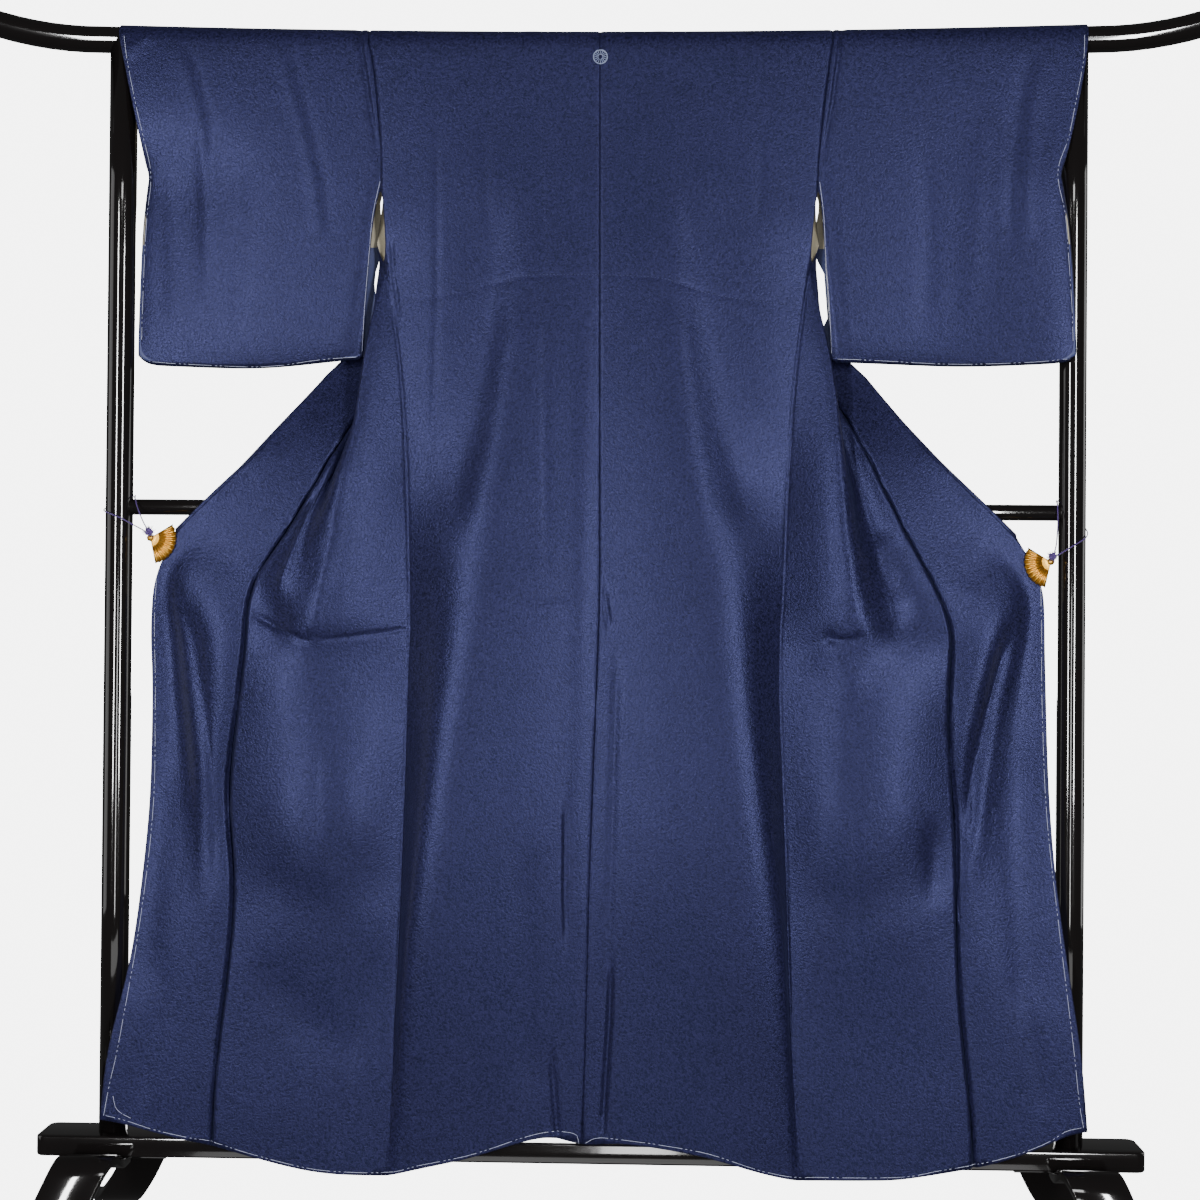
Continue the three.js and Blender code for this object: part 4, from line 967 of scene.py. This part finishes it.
# Middle of the fan's hub as x and z in metres, and the angles of its two sides in degrees.
CLIPS = {"left": (-0.636, 1.010, 32, -78), "right": (0.654, 0.985, 258, 148)}
FAN_R, HUB_R, RIBS = 0.038, 0.0125, 10
JAW_R, LEAF_Y, HUB_Y, JAW_Y = 0.030, -0.0292, -0.0300, -0.0246
LEAF_THICK, HUB_THICK, JAW_THICK, DISC_ROUND = 0.0007, 0.0012, 0.0016, 0.0004
PLEAT, SCALLOP = 0.0016, 0.025
SPRING_Y, SPRING_R, SPRING_LONG = -0.0258, 0.0048, 0.0090

# Gilt brass, satin: warm yellow metal that darkens in the pleats.
gilt, tree, shader = finish("satin_gilt_brass", Metallic=1.0, Roughness=0.4)
place = add_node(tree, "ShaderNodeTexCoord")
tarnish = add_node(tree, "ShaderNodeTexNoise",
                   {"Vector": place.outputs["Object"], "Scale": 260.0, "Detail": 3.0})
gold = add_node(tree, "ShaderNodeMix",
                {"Factor": tarnish.outputs[0], 6: linear("#A67626"), 7: linear("#D9AA4E")},
                data_type="RGBA")
tree.links.new(gold.outputs[2], shader.inputs["Base Color"])
rough = add_node(tree, "ShaderNodeMapRange", {"Value": tarnish.outputs[0], "To Min": 0.34, "To Max": 0.5})
tree.links.new(rough.outputs[0], shader.inputs["Roughness"])


def leaf(bm, x, z, top, bottom):
    """The fan's leaf: a flat sector spun about the clip, then pleated from the hub outward."""
    a = math.radians(top)
    line = [bm.verts.new((x + r * math.cos(a), LEAF_Y, z + r * math.sin(a)))
            for r in (HUB_R, (HUB_R + FAN_R) / 2, FAN_R)]
    edges = [bm.edges.new(pair) for pair in zip(line, line[1:])]
    bmesh.ops.spin(bm, geom=line + edges, cent=Vector((x, LEAF_Y, z)), axis=(0, 1, 0),
                   angle=math.radians(top - bottom), steps=RIBS * 6)
    for v in bm.verts:
        out, up = v.co.x - x, v.co.z - z
        r = math.hypot(out, up)
        share = (math.degrees(math.atan2(up, out)) - bottom) % 360 / (top - bottom)
        wave = math.cos(2 * math.pi * RIBS * share)
        grown = max(0.0, (r - HUB_R) / (FAN_R - HUB_R))
        reach = 1 + SCALLOP * (wave - 1) / 2 if r > FAN_R * 0.98 else 1
        depth = PLEAT * wave * min(1.0, grown * 2.5)
        v.co = Vector((x + out * reach, LEAF_Y + depth, z + up * reach))


for side, (x, z, top, bottom) in CLIPS.items():
    bm = bmesh.new()
    leaf(bm, x, z, top, bottom)
    bmesh.ops.solidify(bm, geom=bm.faces[:], thickness=LEAF_THICK)
    for r, y, deep in ((HUB_R + 0.0006, HUB_Y, HUB_THICK), (JAW_R, JAW_Y, JAW_THICK)):
        disc = bmesh.new()
        a0, a1 = math.radians(bottom), math.radians(top)
        turns = [a0 + (a1 - a0) * k / 24 for k in range(25)]
        rim = [disc.verts.new((x + r * math.cos(a), y, z + r * math.sin(a))) for a in turns]
        face = disc.faces.new([disc.verts.new((x, y, z)), *rim])
        grown = bmesh.ops.extrude_face_region(disc, geom=[face])["geom"]
        grown = [g for g in grown if isinstance(g, bmesh.types.BMVert)]
        bmesh.ops.translate(disc, verts=grown, vec=(0, deep, 0))
        bmesh.ops.recalc_face_normals(disc, faces=disc.faces)
        rims = [e for e in disc.edges if e.calc_face_angle(0) > 0.9]
        bmesh.ops.bevel(disc, geom=rims, offset=DISC_ROUND, segments=2, affect="EDGES", profile=0.5,
                        material=-1)
        part = bpy.data.meshes.new("part")
        disc.to_mesh(part)
        disc.free()
        bm.from_mesh(part)
        bpy.data.meshes.remove(part)
    turn = Matrix.Translation((x, SPRING_Y, z)) @ Matrix.Rotation(math.pi / 2, 4, "X")
    bmesh.ops.create_cone(bm, cap_ends=True, segments=24, radius1=SPRING_R, radius2=SPRING_R,
                          depth=SPRING_LONG, matrix=turn)
    new_piece(f"fan_clip_{side}", bm, [gilt], [f"clip_{side}"])


# ------------------------ knots
# Where each loop is tied, the cord's cut ends fray into a small dark tuft.
KNOTS = {"left": (-0.636, -0.036, 1.018), "right": (0.655, -0.036, 0.992)}
KNOT_TURNS, TURN_R = 5, 0.0032
KNOT_ENDS, END_R, TIP_R = 46, 0.0007, 0.0002
random.seed(7)
for side, at in KNOTS.items():
    bm = bmesh.new()
    middle = Vector(at)
    for k in range(KNOT_TURNS):
        a = k * 2 * math.pi / KNOT_TURNS
        off = Vector((0.0030 * math.cos(a), 0.0012 * math.sin(3 * a), 0.0026 * math.sin(a)))
        bmesh.ops.create_icosphere(bm, subdivisions=2, radius=TURN_R,
                                   matrix=Matrix.Translation(middle + off))
    for k in range(KNOT_ENDS):
        way = Vector((random.gauss(0, 1), random.gauss(-0.1, 0.45), random.gauss(0.45, 0.9))).normalized()
        long = random.uniform(0.0065, 0.0105)
        lie = way.to_track_quat("Z", "Y").to_matrix().to_4x4()
        bmesh.ops.create_cone(bm, cap_ends=True, segments=4, radius1=END_R, radius2=TIP_R, depth=long,
                              matrix=Matrix.Translation(middle + way * long * 0.5) @ lie)
    new_piece(f"knot_tuft_{side}", bm, [cord_silk], [f"knot_{side}"])
